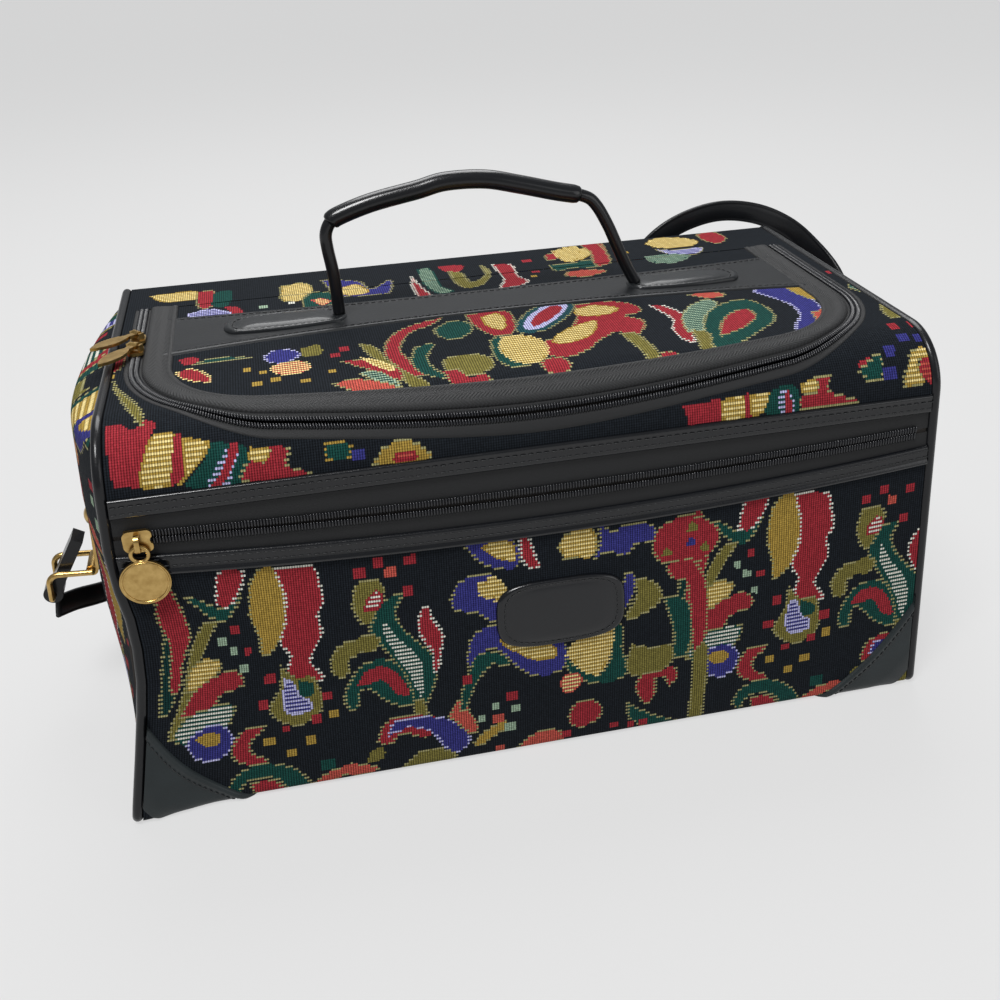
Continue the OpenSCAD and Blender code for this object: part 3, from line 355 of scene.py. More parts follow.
LID_MOTIFS = [
    ("red", "edge", None, [(-28, -8), (-34, -16), (-44, -22), (-50, -32), (-53, -46), (-49, -60),
        (-45, -72), (-51, -74), (-57, -62), (-60, -46), (-57, -30), (-50, -19), (-40, -12)]),
    ("olive", "edge", None, [(-70, -30), (-64, -36), (-60, -52), (-54, -68), (-46, -82), (-50, -88),
        (-58, -72), (-64, -54), (-68, -42)]),
    ("red", "edge", None, [(-81, -48), (-72, -49), (-63, -57), (-56, -66), (-57, -76), (-64, -68),
        (-72, -58)]),
    ("cream", None, "gold", [(-72, -46), (-64, -52), (-58, -62), (-60, -66), (-67, -57)]),
    ("mint", "edge", "green", [(-74, -64), (-66, -64), (-60, -74), (-58, -82), (-66, -76)]),
    ("coral", "edge", None, [(-86, -72), (-76, -70), (-64, -77), (-58, -85), (-70, -84), (-80, -79)]),
    ("blue", "lilac", None, [(-114, -32), (-109, -25), (-102, -27), (-98, -34), (-103, -41), (-111, -40)]),
    ("coral", "cream", "cream", [(-112, -46), (-106, -42), (-98, -43), (-94, -50), (-100, -56),
        (-109, -54)]),
    ("olive", None, None, [(-97, -27), (-89, -25), (-88, -36), (-96, -38)]),
    ("red", "cream", None, [(-153, -37), (-146, -36), (-140, -44), (-138, -53), (-146, -50), (-151, -44)]),
    ("red", None, None, [(-153, -22), (-146, -21), (-143, -27), (-149, -30)]),
    ("green", "edge", None, [(-146, -30), (-138, -26), (-128, -27), (-120, -31), (-128, -30), (-137, -30)]),
    ("green", "edge", None, [(-34, -22), (-24, -14), (-16, -20), (-18, -32), (-27, -38), (-33, -32)]),
    ("red", "edge", None, [(-16, -8), (-4, -6), (5, -10), (5, -24), (1, -38), (-8, -39), (-14, -26)]),
    ("gold", None, "cream", [(-10, -13), (0, -10), (1, -24), (-3, -33), (-9, -26)]),
    ("red", "edge", None, [(38, -10), (54, -9), (66, -17), (67, -28), (58, -32), (64, -40), (60, -52),
        (53, -57), (48, -50), (38, -58), (28, -68), (17, -73), (10, -66), (11, -54), (22, -48), (34, -30)]),
    ("gold", None, "cream", [(36, -16), (48, -13), (58, -20), (52, -27), (42, -28), (36, -24)]),
    ("gold", None, "cream", [(20, -46), (30, -38), (42, -34), (40, -44), (32, -54), (20, -58), (16, -54)]),
    ("teal", "edge", None, [(37, -2), (38, -12), (30, -26), (18, -38), (8, -41), (3, -35), (8, -22),
        (18, -8), (28, -2)]),
    ("lilac", None, None, [(35, -5), (34, -13), (27, -24), (17, -35), (9, -37), (8, -30), (14, -18),
        (25, -6)]),
    ("red", None, None, [(32, -9), (30, -16), (22, -26), (13, -33), (12, -28), (18, -17), (27, -8)]),
    ("green", "edge", None, [(-11, -44), (-4, -40), (-6, -56), (-6, -70), (0, -76), (-8, -76), (-13, -64)]),
    ("gold", "cream", "cream", [(-5, -42), (4, -42), (12, -52), (10, -68), (2, -75), (-6, -70), (-9, -56)]),
    ("green", "edge", None, [(-46, -42), (-37, -41), (-42, -54), (-42, -66), (-38, -78), (-46, -74),
        (-50, -60)]),
    ("olive", "edge", None, [(-36, -60), (-26, -57), (-16, -62), (-16, -74), (-26, -79), (-36, -74)]),
    ("red", "edge", None, [(-38, -73), (-32, -72), (-28, -80), (-20, -80), (-20, -90), (-28, -92),
        (-36, -84)]),
    ("red", "edge", None, [(5, -76), (11, -71), (17, -75), (17, -82), (11, -86), (6, -82)]),
    ("coral", "edge", None, [(-10, -88), (-2, -85), (6, -90), (-2, -94)]),
    ("olive", "edge", None, [(49, -54), (55, -54), (58, -70), (58, -88), (54, -92), (52, -76)]),
    ("red", "edge", None, [(57, -82), (62, -78), (68, -83), (67, -90), (60, -93)]),
    ("red", "white", None, [(74, -22), (80, -24), (85, -38), (82, -54), (78, -72), (74, -66), (74, -54),
        (78, -42)]),
    ("mint", "edge", "green", [(79, -60), (83, -42), (92, -28), (103, -21), (106, -28), (96, -44),
        (87, -66)]),
    ("green", "edge", None, [(84, -86), (87, -62), (95, -42), (108, -29), (122, -27), (127, -40),
        (124, -56), (111, -68), (98, -78)]),
    ("red", "edge", None, [(92, -69), (98, -54), (108, -42), (117, -39), (117, -50), (107, -61)]),
    ("olive", "edge", None, [(82, -58), (88, -64), (84, -78), (80, -92), (77, -88), (80, -72)]),
    ("coral", "edge", None, [(97, -12), (108, -10), (115, -16), (106, -20)]),
    ("blue", "lilac", None, [(130, -16), (138, -8), (146, -10), (150, -22), (153, -40), (148, -56),
        (140, -68), (127, -77), (130, -66), (138, -54), (140, -40), (136, -28)]),
    ("gold", "edge", None, [(148, -8), (162, -8), (166, -20), (160, -34), (153, -34), (149, -22)]),
    ("coral", "edge", None, [(145, -52), (152, -50), (154, -60), (147, -68), (142, -64)]),
    ("gold", None, "cream", [(-171, 78), (-147, 79), (-146, 65), (-163, 65)]),
    ("red", "edge", None, [(-146, 76), (-137, 75), (-138, 51), (-145, 51)]),
    ("green", None, None, [(-137, 73), (-128, 73), (-130, 49), (-138, 51)]),
    ("lilac", None, "blue", [(-150, 42), (-138, 46), (-124, 31), (-122, 26), (-137, 28), (-149, 37)]),
    ("red", None, None, [(-132, 47), (-125, 44), (-121, 28), (-125, 27)]),
    ("gold", "edge", "cream", [(-102, 72), (-90, 74), (-86, 64), (-89, 46), (-102, 47)]),
    ("blue", "edge", None, [(-80, 76), (-61, 67), (-56, 51), (-44, 64), (-47, 42), (-57, 41), (-73, 46)]),
    ("gold", None, "cream", [(-72, 59), (-62, 62), (-57, 46), (-70, 45)]),
    ("green", "edge", None, [(-92, 47), (-86, 56), (-76, 52), (-74, 41), (-82, 28), (-91, 31)]),
    ("coral", None, "cream", [(-88, 43), (-82, 44), (-78, 37), (-83, 32)]),
    ("red", "white", None, [(-32, 66), (-30, 48), (-27, 25), (-33, 27), (-34, 49)]),
    ("green", None, "mint", [(-28, 77), (-20, 77), (-19, 44), (-14, 32), (-24, 32), (-28, 53)]),
    ("red", None, None, [(-16, 79), (-2, 77), (-6, 66), (-13, 69)]),
    ("olive", "edge", None, [(-11, 68), (-5, 63), (-3, 45), (7, 56), (8, 74), (10, 58), (3, 40), (-7, 35),
        (-11, 47)]),
    ("red", "white", None, [(14, 72), (24, 69), (23, 48), (26, 38), (22, 31), (10, 29), (15, 45)]),
    ("green", "edge", None, [(44, 62), (55, 61), (69, 63), (69, 50), (54, 52), (45, 49)]),
    ("gold", None, "cream", [(56, 77), (68, 86), (74, 80), (66, 67), (54, 64)]),
    ("red", "edge", None, [(46, 80), (58, 86), (56, 76), (46, 70)]),
    ("red", "edge", None, [(74, 87), (83, 91), (76, 57), (68, 53)]),
    ("gold", "cream", "cream", [(52, 86), (66, 92), (66, 74), (58, 64), (52, 72)]),
    ("red", "edge", None, [(70, 94), (80, 96), (80, 70), (76, 54), (68, 56), (72, 76)]),
    ("coral", "edge", None, [(50, 46), (62, 46), (70, 40), (58, 34), (48, 38)]),
    ("cream", "gold", "gold", [(106, 82), (114, 90), (128, 88), (136, 78), (128, 70), (112, 72)]),
    ("lilac", "edge", "blue", [(108, 70), (118, 66), (134, 66), (128, 56), (116, 54)]),
    ("green", "mint", "mint", [(98, 58), (110, 60), (122, 54), (112, 44), (100, 46)]),
    ("red", "edge", None, [(140, 90), (150, 94), (154, 80), (146, 70), (140, 78)]),
]
LID_SPOTS = [
    ("gold", 4, (-115, -50)), ("gold", 4, (-122, -45)), ("gold", 4, (-110, -60)), ("gold", 4, (-97, -65)),
    ("gold", 4, (-85, -58)), ("gold", 4, (-118, -62)), ("red", 5, (-78, -34)), ("red", 5, (-82, -40)),
    ("mint", 4, (40, -88)), ("mint", 4, (46, -86)), ("mint", 4, (-112, 40)), ("white", 4, (-98, 42)),
    ("red", 5, (34, 73)), ("gold", 4, (31, 44)), ("red", 5, (170, -14)), ("red", 5, (167, -34)),
    ("gold", 4, (128, -80)), ("red", 4, (34, 52)), ("gold", 4, (90, 70)),
]


def woven(across, up, motifs, spots, repeat, tiers=1):
    """Yarn colours of loom cells at places in millimetres; a second tier is half a repeat aside."""
    colour = np.empty(across.shape + (3,))
    rng = np.random.default_rng(4)
    yarn = {k: np.array(linear(v)[:3]) for k, v in YARN.items()}
    colour[:] = yarn["ground"]
    row = np.broadcast_to(np.arange(across.shape[0])[:, None], across.shape)
    moves = [(0, 0)] if repeat is None else [(0, 0), (repeat, 0)]
    if tiers == 2:
        moves += [(-repeat / 2, TIER), (repeat / 2, TIER)]
    for fill, edging, stripe, outline in motifs:
        ring = smooth_route(list(outline) + [outline[0]], 5)[:-1]
        for move, lift in moves:
            px, py = ring[:, 0] + move, ring[:, 1] + lift
            near = (across > px.min() - 3) & (across < px.max() + 3)
            near &= (up > py.min() - 3) & (up < py.max() + 3)
            if not near.any():
                continue
            x, y = across[near], up[near]
            ax, ay, bx, by = px, py, np.roll(px, -1), np.roll(py, -1)
            dy = np.where(by == ay, 1e-9, by - ay)
            cross = ((ay[None] > y[:, None]) != (by[None] > y[:, None])) & (
                x[:, None] < (bx - ax)[None] * (y[:, None] - ay[None]) / dy[None] + ax[None])
            inside = cross.sum(1) % 2 == 1
            span = (bx - ax) ** 2 + (by - ay) ** 2 + 1e-9
            t = np.clip(((x[:, None] - ax) * (bx - ax) + (y[:, None] - ay) * (by - ay)) / span, 0, 1)
            off_x, off_y = x[:, None] - ax - t * (bx - ax), y[:, None] - ay - t * (by - ay)
            far = np.sqrt((off_x ** 2 + off_y ** 2).min(1))
            part = colour[near]
            part[inside] = yarn[fill]
            if stripe:
                part[inside & (row[near] % 2 == 0) & (far > 0.9)] = yarn[stripe]
            if edging:
                part[(far < 0.8) & (row[near] % 2 == 0)] = yarn[edging]
            colour[near] = part
    for fill, size, (sx, sy) in spots:
        for move, lift in moves:
            colour[(abs(across - sx - move) < size / 2) & (abs(up - sy - lift) < size / 2)] = yarn[fill]
    return colour * rng.uniform(0.82, 1.12, across.shape + (1,))


# Jacquard cloth is matt; the threads dip between the columns and, less, between the rows, and the yarn
# colour is darkened in these dips as painted shade
cloth, tree, shader = material("tapestry", Roughness=0.8, Specular_IOR_Level=0.06)
yarns = add_node(tree, "ShaderNodeAttribute", attribute_name="yarn")
loom = add_node(tree, "ShaderNodeAttribute", attribute_name="loom")
split = add_node(tree, "ShaderNodeSeparateXYZ", [("Vector", loom.outputs["Vector"])])
weft = add_node(tree, "ShaderNodeMath", [(0, split.outputs["Y"])], operation="MULTIPLY")
weft.inputs[1].default_value = 2 * math.pi / CELL
weft_wave = add_node(tree, "ShaderNodeMath", [(0, weft.outputs[0])], operation="COSINE")
warp = add_node(tree, "ShaderNodeMath", [(0, split.outputs["X"])], operation="MULTIPLY")
warp.inputs[1].default_value = 4 * math.pi / CELL
warp_wave = add_node(tree, "ShaderNodeMath", [(0, warp.outputs[0])], operation="COSINE")
threads = add_node(
    tree, "ShaderNodeMath", [(0, weft_wave.outputs[0]), (1, warp_wave.outputs[0])], operation="ADD")
bump = add_node(
    tree, "ShaderNodeBump", [("Height", threads.outputs[0])], Strength=0.35, Distance=0.12 * MM)
# Painted shade: the yarn colour is multiplied down along the dips between the columns and, less, between the
# rows
column_line = add_node(tree, "ShaderNodeMath", [(0, split.outputs["X"])], operation="MULTIPLY")
column_line.inputs[1].default_value = 2 * math.pi / CELL
column_wave = add_node(tree, "ShaderNodeMath", [(0, column_line.outputs[0])], operation="COSINE")
painted_column_shade = add_node(tree, "ShaderNodeMath", [(0, column_wave.outputs[0])], operation="MULTIPLY_ADD")
painted_column_shade.inputs[1].default_value, painted_column_shade.inputs[2].default_value = -0.4, 0.78
painted_row_shade = add_node(
    tree, "ShaderNodeMath", [(0, weft_wave.outputs[0]), (2, painted_column_shade.outputs[0])],
    operation="MULTIPLY_ADD")
painted_row_shade.inputs[1].default_value = -0.15
shaded_yarns = add_node(tree, "ShaderNodeVectorMath", [(0, yarns.outputs["Color"])], operation="SCALE")
tree.links.new(painted_row_shade.outputs[0], shaded_yarns.inputs["Scale"])
tree.links.new(shaded_yarns.outputs[0], shader.inputs["Base Color"])
tree.links.new(bump.outputs["Normal"], shader.inputs["Normal"])


def grid_faces(rows, columns, keep=None):
    """Four-sided faces of a grid of points, all of them or those of the kept cells."""
    index = np.arange(rows * columns).reshape(rows, columns)
    quads = np.stack([index[:-1, :-1], index[:-1, 1:], index[1:, 1:], index[1:, :-1]], -1)
    return quads.reshape(-1, 4) if keep is None else quads[keep]


def woven_panel(name, points, colours, node, body="body", keep=None, flip=False):
    """A cloth panel from a grid of points, with one yarn colour for each cell."""
    rows, columns = points.shape[:2]
    faces = grid_faces(rows, columns, keep)
    colours = colours.reshape(-1, 3) if keep is None else colours[keep]
    if flip:
        faces = faces[:, ::-1]
    used, faces = np.unique(faces, return_inverse=True)
    faces = faces.reshape(-1, 4)
    panel = add_object(name, points.reshape(-1, 3)[used], faces.tolist(), cloth)
    data = panel.data.attributes.new("yarn", "FLOAT_COLOR", "FACE").data
    data.foreach_set("color", np.hstack([colours, np.ones((len(colours), 1))]).astype(np.float32).ravel())
    data = panel.data.attributes.new("loom", "FLOAT_VECTOR", "POINT").data
    place = CELL * np.stack([used % columns, used // columns], 1)
    data.foreach_set("vector", np.hstack([place, np.zeros((len(place), 1))]).astype(np.float32).ravel())
    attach(panel, body)
    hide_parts(*([node] if isinstance(node, str) else node))
    return panel


# Pocket front: the tapestry below the front zip, from the base edge to the lower strip. The wall
# is soft: it swells a little and the zip line sags between the ends.
HALF_L, HEIGHT, LEAN_IN, PIPED_EDGE = 200, 197, 14, 5.01
MID_HALF_L = 190
FRONT, TOP, SHOULDER_R, BACK_R, BASE_R = -101, 196, 26, 10, 5
ARC, BACK_ARC, BASE_ARC = SHOULDER_R * math.pi / 2, BACK_R * math.pi / 2, BASE_R * math.pi / 2
S_TOP = TOP - SHOULDER_R + ARC
S_BACK = S_TOP - 2 * FRONT - SHOULDER_R - BACK_R
S_REAR = S_BACK + BACK_ARC


def half_width(z):
    """Half the cloth's width at a height: the ends lean in, and piping takes up the edge."""
    return HALF_L - z * LEAN_IN / HEIGHT - PIPED_EDGE


def ease(a, b, v):
    """A smooth step from 0 at a to 1 at b."""
    t = np.clip((v - a) / (b - a), 0, 1)
    return t * t * (3 - 2 * t)


def sag(x, s):
    """Drop of the soft front between its ends: most at the lower strip, none at the upper one."""
    return -np.interp(s, [6, 60, 133, 142, 150.5, 161], [0, 3.2, 8.5, 8.5, 5.5, 0]) * (1 - (x / 184) ** 2)


def profile(s):
    """Side view of the wrapped cloth: s is the way up the front, over the top and down the back."""
    s = np.asarray(s, float)
    y, z, ny, nz = np.full(s.shape, float(FRONT)), s.copy(), np.full(s.shape, -1.0), np.zeros(s.shape)
    for start, length, r, cy, cz, begin in (
        (BASE_R - BASE_ARC, BASE_ARC, BASE_R, FRONT + BASE_R, BASE_R, math.pi * 1.5),
        (TOP - SHOULDER_R, ARC, SHOULDER_R, FRONT + SHOULDER_R, TOP - SHOULDER_R, math.pi),
        (S_BACK, BACK_ARC, BACK_R, -FRONT - BACK_R, TOP - BACK_R, math.pi / 2),
    ):
        on = (s >= start) & (s < start + length)
        a = begin - (s[on] - start) / r
        ny[on], nz[on] = np.cos(a), np.sin(a)
        y[on], z[on] = cy + r * ny[on], cz + r * nz[on]
    on = (s >= S_TOP) & (s < S_BACK)
    y[on], z[on], ny[on], nz[on] = FRONT + SHOULDER_R + s[on] - S_TOP, TOP, 0, 1
    on = s >= S_REAR
    y[on], z[on], ny[on], nz[on] = -FRONT, TOP - BACK_R - (s[on] - S_REAR), 1, 0
    return y, z, ny, nz


def swell(x, s):
    """Outward swell of the soft walls."""
    front = 2.2 * np.sin(np.pi * np.clip(s / 124, 0, 1)) * (1 - (x / 195) ** 2)
    ripple = 0.35 * np.sin(x / 23 + s / 41) * np.sin(s / 29 - x / 57)
    back = 2 * np.sin(np.pi * np.clip((s - S_REAR) / 178, 0, 1)) * (1 - (x / 195) ** 2)
    return front + back + ripple * ease(15, 45, s) * (1 - ease(110, 122, s))


def slumped(points):
    """The soft left front corner: it leans in at half height and its foot is splayed forward."""
    x, y, z = np.moveaxis(np.asarray(points, float), -1, 0)
    near = ease(-110, -190, x) * ease(10, -90, y)
    lean = np.interp(z, [0, 10, 35, 60, 77, 95, 111, 125, 145], [-4.5, -3.3, 0.4, 3.9, 5.7, 6, 4.8, 2, 0])
    splay = -5.5 * ease(-160, -196, x) * ease(60, 0, z) * ease(0, -90, y)
    return np.stack([x + lean * near, y + splay, np.maximum(z, 0.1)], -1)


def wrapped(share, s, lift):
    """Points on the wrap: share runs from -1 to 1 between the ends, lift is the height above the cloth."""
    x0 = share * MID_HALF_L
    y, z, ny, nz = profile(s + sag(x0, s))
    h = lift + swell(x0, s)
    return slumped(np.stack([share * half_width(z), y + h * ny, z + h * nz], -1))


def cells(low, high):
    """Lines of the loom's grid between two places."""
    n = max(2, int(round((high - low) / CELL)) + 1)
    return np.linspace(low, high, n)


def cell_middles(*grids):
    """The values of grids in the middles of their cells."""
    return [(g[:-1, :-1] + g[1:, 1:]) / 2 for g in grids]


share, rise = np.meshgrid(np.linspace(-1, 1, int(2 * MID_HALF_L / CELL) + 1), cells(-2.8, 136))
x0 = share * MID_HALF_L
cell_x, cell_z = cell_middles(x0, rise + sag(x0, rise))
colours = woven(cell_x, cell_z, FRONT_MOTIFS, FRONT_SPOTS, REPEAT)
woven_panel("pocket front tapestry", wrapped(share, rise, 0.15), colours, "pocket_front")


# Shoulder: the same cloth, from the upper strip over the rounded front edge and round the lid's
# opening, and the strip behind the lid. The zip's tape hides its cut edge.
LID_HALF, LID_CORNER_R, LID_FRONT, LID_BOW, BOW_HALF, HINGE_Y = 168.07, 60, 94.2, 10.4, 130, 55


def lid_outline(grow):
    """The lid's plan, grown at the sides: half width, corner radius, corner centre and the front's bow."""
    half, r, front = LID_HALF + grow, LID_CORNER_R + grow, LID_FRONT + 0.75 * grow
    bow = LID_BOW - 4.5 * max(grow / 8, 0)
    bow_r = (BOW_HALF ** 2 + bow ** 2) / (2 * bow)
    corner_y = bow_r - front - math.sqrt((bow_r - r) ** 2 - (half - r) ** 2)
    return half, r, half - r, corner_y, bow_r, bow_r - front


def in_plan(x, y, grow):
    """Inside the lid's plan, grown by a width at the sides."""
    half, r, corner_x, corner_y, bow_r, bow_y = lid_outline(grow)
    x = np.abs(x)
    front = (x < corner_x * bow_r / (bow_r - r)) & (np.hypot(x, y - bow_y) < bow_r)
    corner = np.hypot(x - corner_x, y - corner_y) < r
    return (front | corner | ((x < half) & (y > corner_y))) & (y < HINGE_Y + 0.5)


SHOULDER_MOTIFS = [
    ("red", None, None, [(-180, 202), (-174, 202), (-171, 198), (-168, 199), (-165, 203), (-160, 199),
        (-164, 191), (-167, 183), (-169, 173), (-174, 174), (-179, 175), (-180, 186)]),
    ("gold", None, "cream", [(-164, 191), (-160, 195), (-153, 194), (-153, 188), (-155, 178), (-157, 172),
        (-169, 173), (-167, 183)]),
    ("red", None, None, [(-153, 193), (-150, 193), (-151, 177), (-157, 172), (-156, 178)]),
    ("gold", None, "cream", [(-150, 192), (-139, 188), (-143, 182), (-147, 178), (-153, 172), (-155, 172),
        (-151, 177)]),
    ("green", None, None, [(-139, 188), (-132, 187), (-125, 184), (-127, 170), (-143, 170), (-152, 171),
        (-147, 177), (-142, 182)]),
    ("green", None, "lilac", [(-133, 186), (-127, 185), (-130, 177), (-134, 169), (-144, 170), (-140, 177),
        (-136, 182)]),
    ("red", None, None, [(-131, 187), (-128, 186), (-131, 178), (-137, 170), (-141, 170), (-136, 176)]),
    ("red", "edge", None, [(-116, 183), (-108, 182), (-110, 175), (-101, 170), (-109, 169), (-128, 170),
        (-125, 178), (-118, 178)]),
    ("gold", None, "cream", [(-124, 184), (-116, 183), (-118, 178), (-125, 179)]),
    ("green", "gold", None, [(-93, 182), (-83, 180), (-85, 174), (-93, 175)]),
    ("gold", "edge", None, [(-71, 175), (-67, 178), (-59, 179), (-54, 176), (-50, 172), (-52, 169),
        (-66, 169), (-74, 170)]),
    ("red", None, "coral", [(-65, 174), (-57, 174), (-56, 170), (-65, 170)]),
    ("olive", "edge", None, [(-180, 246), (-176, 233), (-168, 216), (-165, 203), (-167, 201), (-173, 217),
        (-178, 234)]),
    ("red", None, None, [(62, 179), (72, 179), (81, 179), (81, 170), (73, 170), (66, 169), (64, 176)]),
    ("gold", None, "cream", [(81, 179), (92, 180), (92, 170), (81, 170)]),
    ("red", None, None, [(92, 180), (94, 180), (95, 170), (92, 170)]),
    ("gold", None, "cream", [(94, 180), (104, 180), (103, 173), (95, 170)]),
    ("green", None, None, [(104, 180), (110, 182), (117, 180), (117, 169), (102, 170)]),
    ("green", None, "lilac", [(107, 180), (114, 180), (116, 169), (107, 170)]),
    ("red", None, None, [(111, 179), (113, 179), (114, 169), (111, 170)]),
    ("red", "edge", None, [(126, 184), (133, 184), (132, 177), (146, 171), (137, 170), (120, 170),
        (119, 176), (126, 178)]),
    ("gold", None, "cream", [(118, 182), (126, 183), (126, 178), (119, 178)]),
    ("red", None, None, [(147, 188), (153, 190), (154, 186), (148, 186)]),
    ("green", "edge", None, [(147, 184), (158, 191), (158, 180), (152, 179), (149, 182)]),
    ("gold", "edge", "cream", [(171, 183), (174, 190), (180, 192), (186, 189), (185, 185), (178, 186),
        (176, 182), (179, 176), (170, 174), (169, 179)]),
    ("red", None, "coral", [(177, 185), (181, 187), (186, 185), (185, 174), (180, 176), (177, 180)]),
    ("olive", "edge", None, [(184, 241), (185, 234), (184, 220), (177, 215), (177, 225)]),
    ("red", "edge", None, [(-186, 276), (-179, 284), (-177, 270), (-180, 258), (-186, 262)]),
    ("green", "edge", "mint", [(178, 262), (184, 270), (187, 262), (183, 252)]),
]
SHOULDER_SPOTS = [
    ("blue", 5, (-80, 175)), ("blue", 5, (164, 192)), ("blue", 6, (162, 182)), ("blue", 5, (180, 197)),
    ("blue", 5, (173, 198)), ("red", 5, (182, 207)), ("red", 5, (172, 207)), ("gold", 5, (-183, 252)),
    ("red", 5, (181, 288)),
]
share, rise = np.meshgrid(np.linspace(-1, 1, int(376 / CELL) + 1), cells(165, S_REAR + 2))
points = wrapped(share, rise, 0.1)
middle = (points[:-1, :-1] + points[1:, 1:]) / 2
_, cell_s = cell_middles(share, rise)
colours = np.where(
    (cell_s < 300)[..., None],
    woven(middle[..., 0], cell_s, SHOULDER_MOTIFS, SHOULDER_SPOTS, None),
    woven(middle[..., 0], cell_s - S_TOP - 75, LID_MOTIFS, LID_SPOTS, None),
)
keep = ~in_plan(middle[..., 0], middle[..., 1], 7)
woven_panel("shoulder tapestry", points, colours, ["shoulder_panel", "hinge_hem"], keep=keep)

# Back panel: the same tapestry, stretched over the board of the back from the top edge down to
# the base, with a second tier of motifs above the first.
BACK_H = 181
share, rise = np.meshgrid(np.linspace(-1, 1, int(2 * MID_HALF_L / CELL) + 1), cells(S_REAR, S_REAR + BACK_H))
cell_x, cell_z = cell_middles(-share * MID_HALF_L, S_REAR + BACK_H - rise)
colours = woven(cell_x, cell_z, FRONT_MOTIFS, FRONT_SPOTS, REPEAT, 2)
woven_panel("back tapestry", wrapped(share, rise, 0.1), colours, "back_panel")

# End panels: tapestry over board, swelling outwards and tucked in towards the base. Each is cut
# to the loop of piping that it is sewn to.
LEAN = math.atan(LEAN_IN / HEIGHT)
END_H = HEIGHT / math.cos(LEAN)


def on_end(side, out, y, up):
    """A point in the frame of an end: out of its plane, across and up its slope."""
    x = HALF_L + out * math.cos(LEAN) - up * math.sin(LEAN)
    return np.stack([side * x, y, up * math.cos(LEAN) + out * math.sin(LEAN)], -1)


def arc(rise, half, d):
    """Height of an arc over a chord at a distance from its middle."""
    r = (half ** 2 + rise ** 2) / (2 * rise)
    return np.sqrt(np.maximum(r * r - d * d, 0)) - r + rise


def soft_least(a, b):
    """The lesser of two rises, with a rounded change from one to the other."""
    return np.maximum(-2 * np.log(np.exp(-a / 2) + np.exp(-b / 2)) + 2 * np.log(1 + np.exp(-10)), 0)


for side, node in ((-1, "left_end"), (1, "right_end")):
    y, up = np.meshgrid(cells(-99, 99), cells(3, END_H - 3))
    bow = soft_least(arc(20, 97, y), arc(60, END_H / 2 - 5, up - END_H / 2))
    points = slumped(on_end(side, -2.4 + bow * ease(-10, 95, up), y, up))
    cy, cz = cell_middles(y, up)
    radius = np.where(cz > END_H / 2, np.where(cy < 0, 23.5, 7.5), 5.5)
    ky = np.maximum(np.abs(cy) - (98.5 - radius), 0)
    kz = np.maximum(np.abs(cz - END_H / 2) - (END_H / 2 - 3.5 - radius), 0)
    colours = woven(-side * cy - 60, cz, FRONT_MOTIFS, FRONT_SPOTS, REPEAT, 2)
    woven_panel(
        node.replace("_", " ") + " tapestry", points, colours, node,
        keep=np.hypot(ky, kz) < radius, flip=side < 0)


# Lid panels: tapestry in front of and behind the leatherette band, over the lid's board. The
# binding covers their edges.
def over_top(x, y, lift):
    """A point on the top or the shoulder over a place in plan."""
    a = np.clip((FRONT + SHOULDER_R - y) / SHOULDER_R, 0, 0.985)
    z = TOP - SHOULDER_R + SHOULDER_R * np.sqrt(1 - a * a)
    return np.stack([x, y - lift * a, z + lift * np.sqrt(1 - a * a)], -1)


BAND_FRONT, BAND_REAR, BAND_FLARE = -7, 27, 10


def band_edge(x, front):
    """Front or rear edge of the band: it widens towards the ends of the lid."""
    flare = BAND_FLARE * (x / 168) ** 2
    return BAND_FRONT - flare if front else BAND_REAR + flare


def dome(x, y):
    """The lid's soft rise between its edges."""
    return 1.6 * np.clip(1 - (x / 160) ** 2, 0, 1) * np.clip(1 - ((y + 15) / 70) ** 2, 0, 1)


for name, node, low, high, front in (
    ("lid front tapestry", "lid_front_panel", -91, 0, True),
    ("lid rear tapestry", "lid_rear_panel", 24, HINGE_Y, False),
):
    x, y = np.meshgrid(cells(-164, 164), cells(low, high))
    points = over_top(x, y, 0.1 + dome(x, y))
    cx, cy = cell_middles(x, y)
    beside = cy < band_edge(cx, True) + 3 if front else cy > band_edge(cx, False) - 3
    keep = in_plan(cx, cy, -6) & beside
    woven_panel(name, points, woven(cx, cy, LID_MOTIFS, LID_SPOTS, None), node, "lid", keep)


# Lid band: leatherette across the lid under the handle, turned in and stitched down along both
# edges.
def way_along(points):
    """Length of the way from the start of a line of points to each of them."""
    return np.concatenate([[0], np.cumsum(np.linalg.norm(np.diff(points, axis=0), axis=1))])


def values_at(at, way, values):
    """Rows of values between the places of a way."""
    return np.stack([np.interp(at, way, column) for column in values.T], 1)


def stitch_row(name, places, up, length, radius, mat, body, every):
    """Short raised stitches along a line of points, on a surface that faces up."""
    way = way_along(places)
    at = np.arange(every / 2, way[-1], every)
    spots = values_at(at, way, places)
    ahead_ = unit(values_at(at, way, np.gradient(places, axis=0)))
    up_ = np.tile(np.array(up, float), (len(at), 1))
    side_ = np.cross(up_, ahead_)
    verts, faces = [], []
    for p, a, u, w in zip(spots, ahead_, up_, side_):
        faces += ring_faces(6, 4, len(verts))
        for d, r, h in ((-0.5, 0.35, 0), (-0.3, 1, 0.55), (0.3, 1, 0.55), (0.5, 0.35, 0)):
            for k in range(6):
                c, s = math.cos(k * math.pi / 3), math.sin(k * math.pi / 3)
                verts.append(p + d * length * a + r * radius * (c * w + s * u) + h * radius * u)
    row = add_object(name, verts, faces, mat)
    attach(row, body)
    return row


def strip_object(name, points, mat, body, node=None):
    """A strip from a grid of points."""
    made = add_object(name, points.reshape(-1, 3), grid_faces(*points.shape[:2]).tolist(), mat)
    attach(made, body)
    if node:
        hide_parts(*([node] if isinstance(node, str) else node))
    return made


# Smooth coated cloth: grey-black, with a broad soft sheen
band_leather = leatherette("smooth leatherette", "#141517", "#1c1e20", 0.4, 0.9, 0.15)
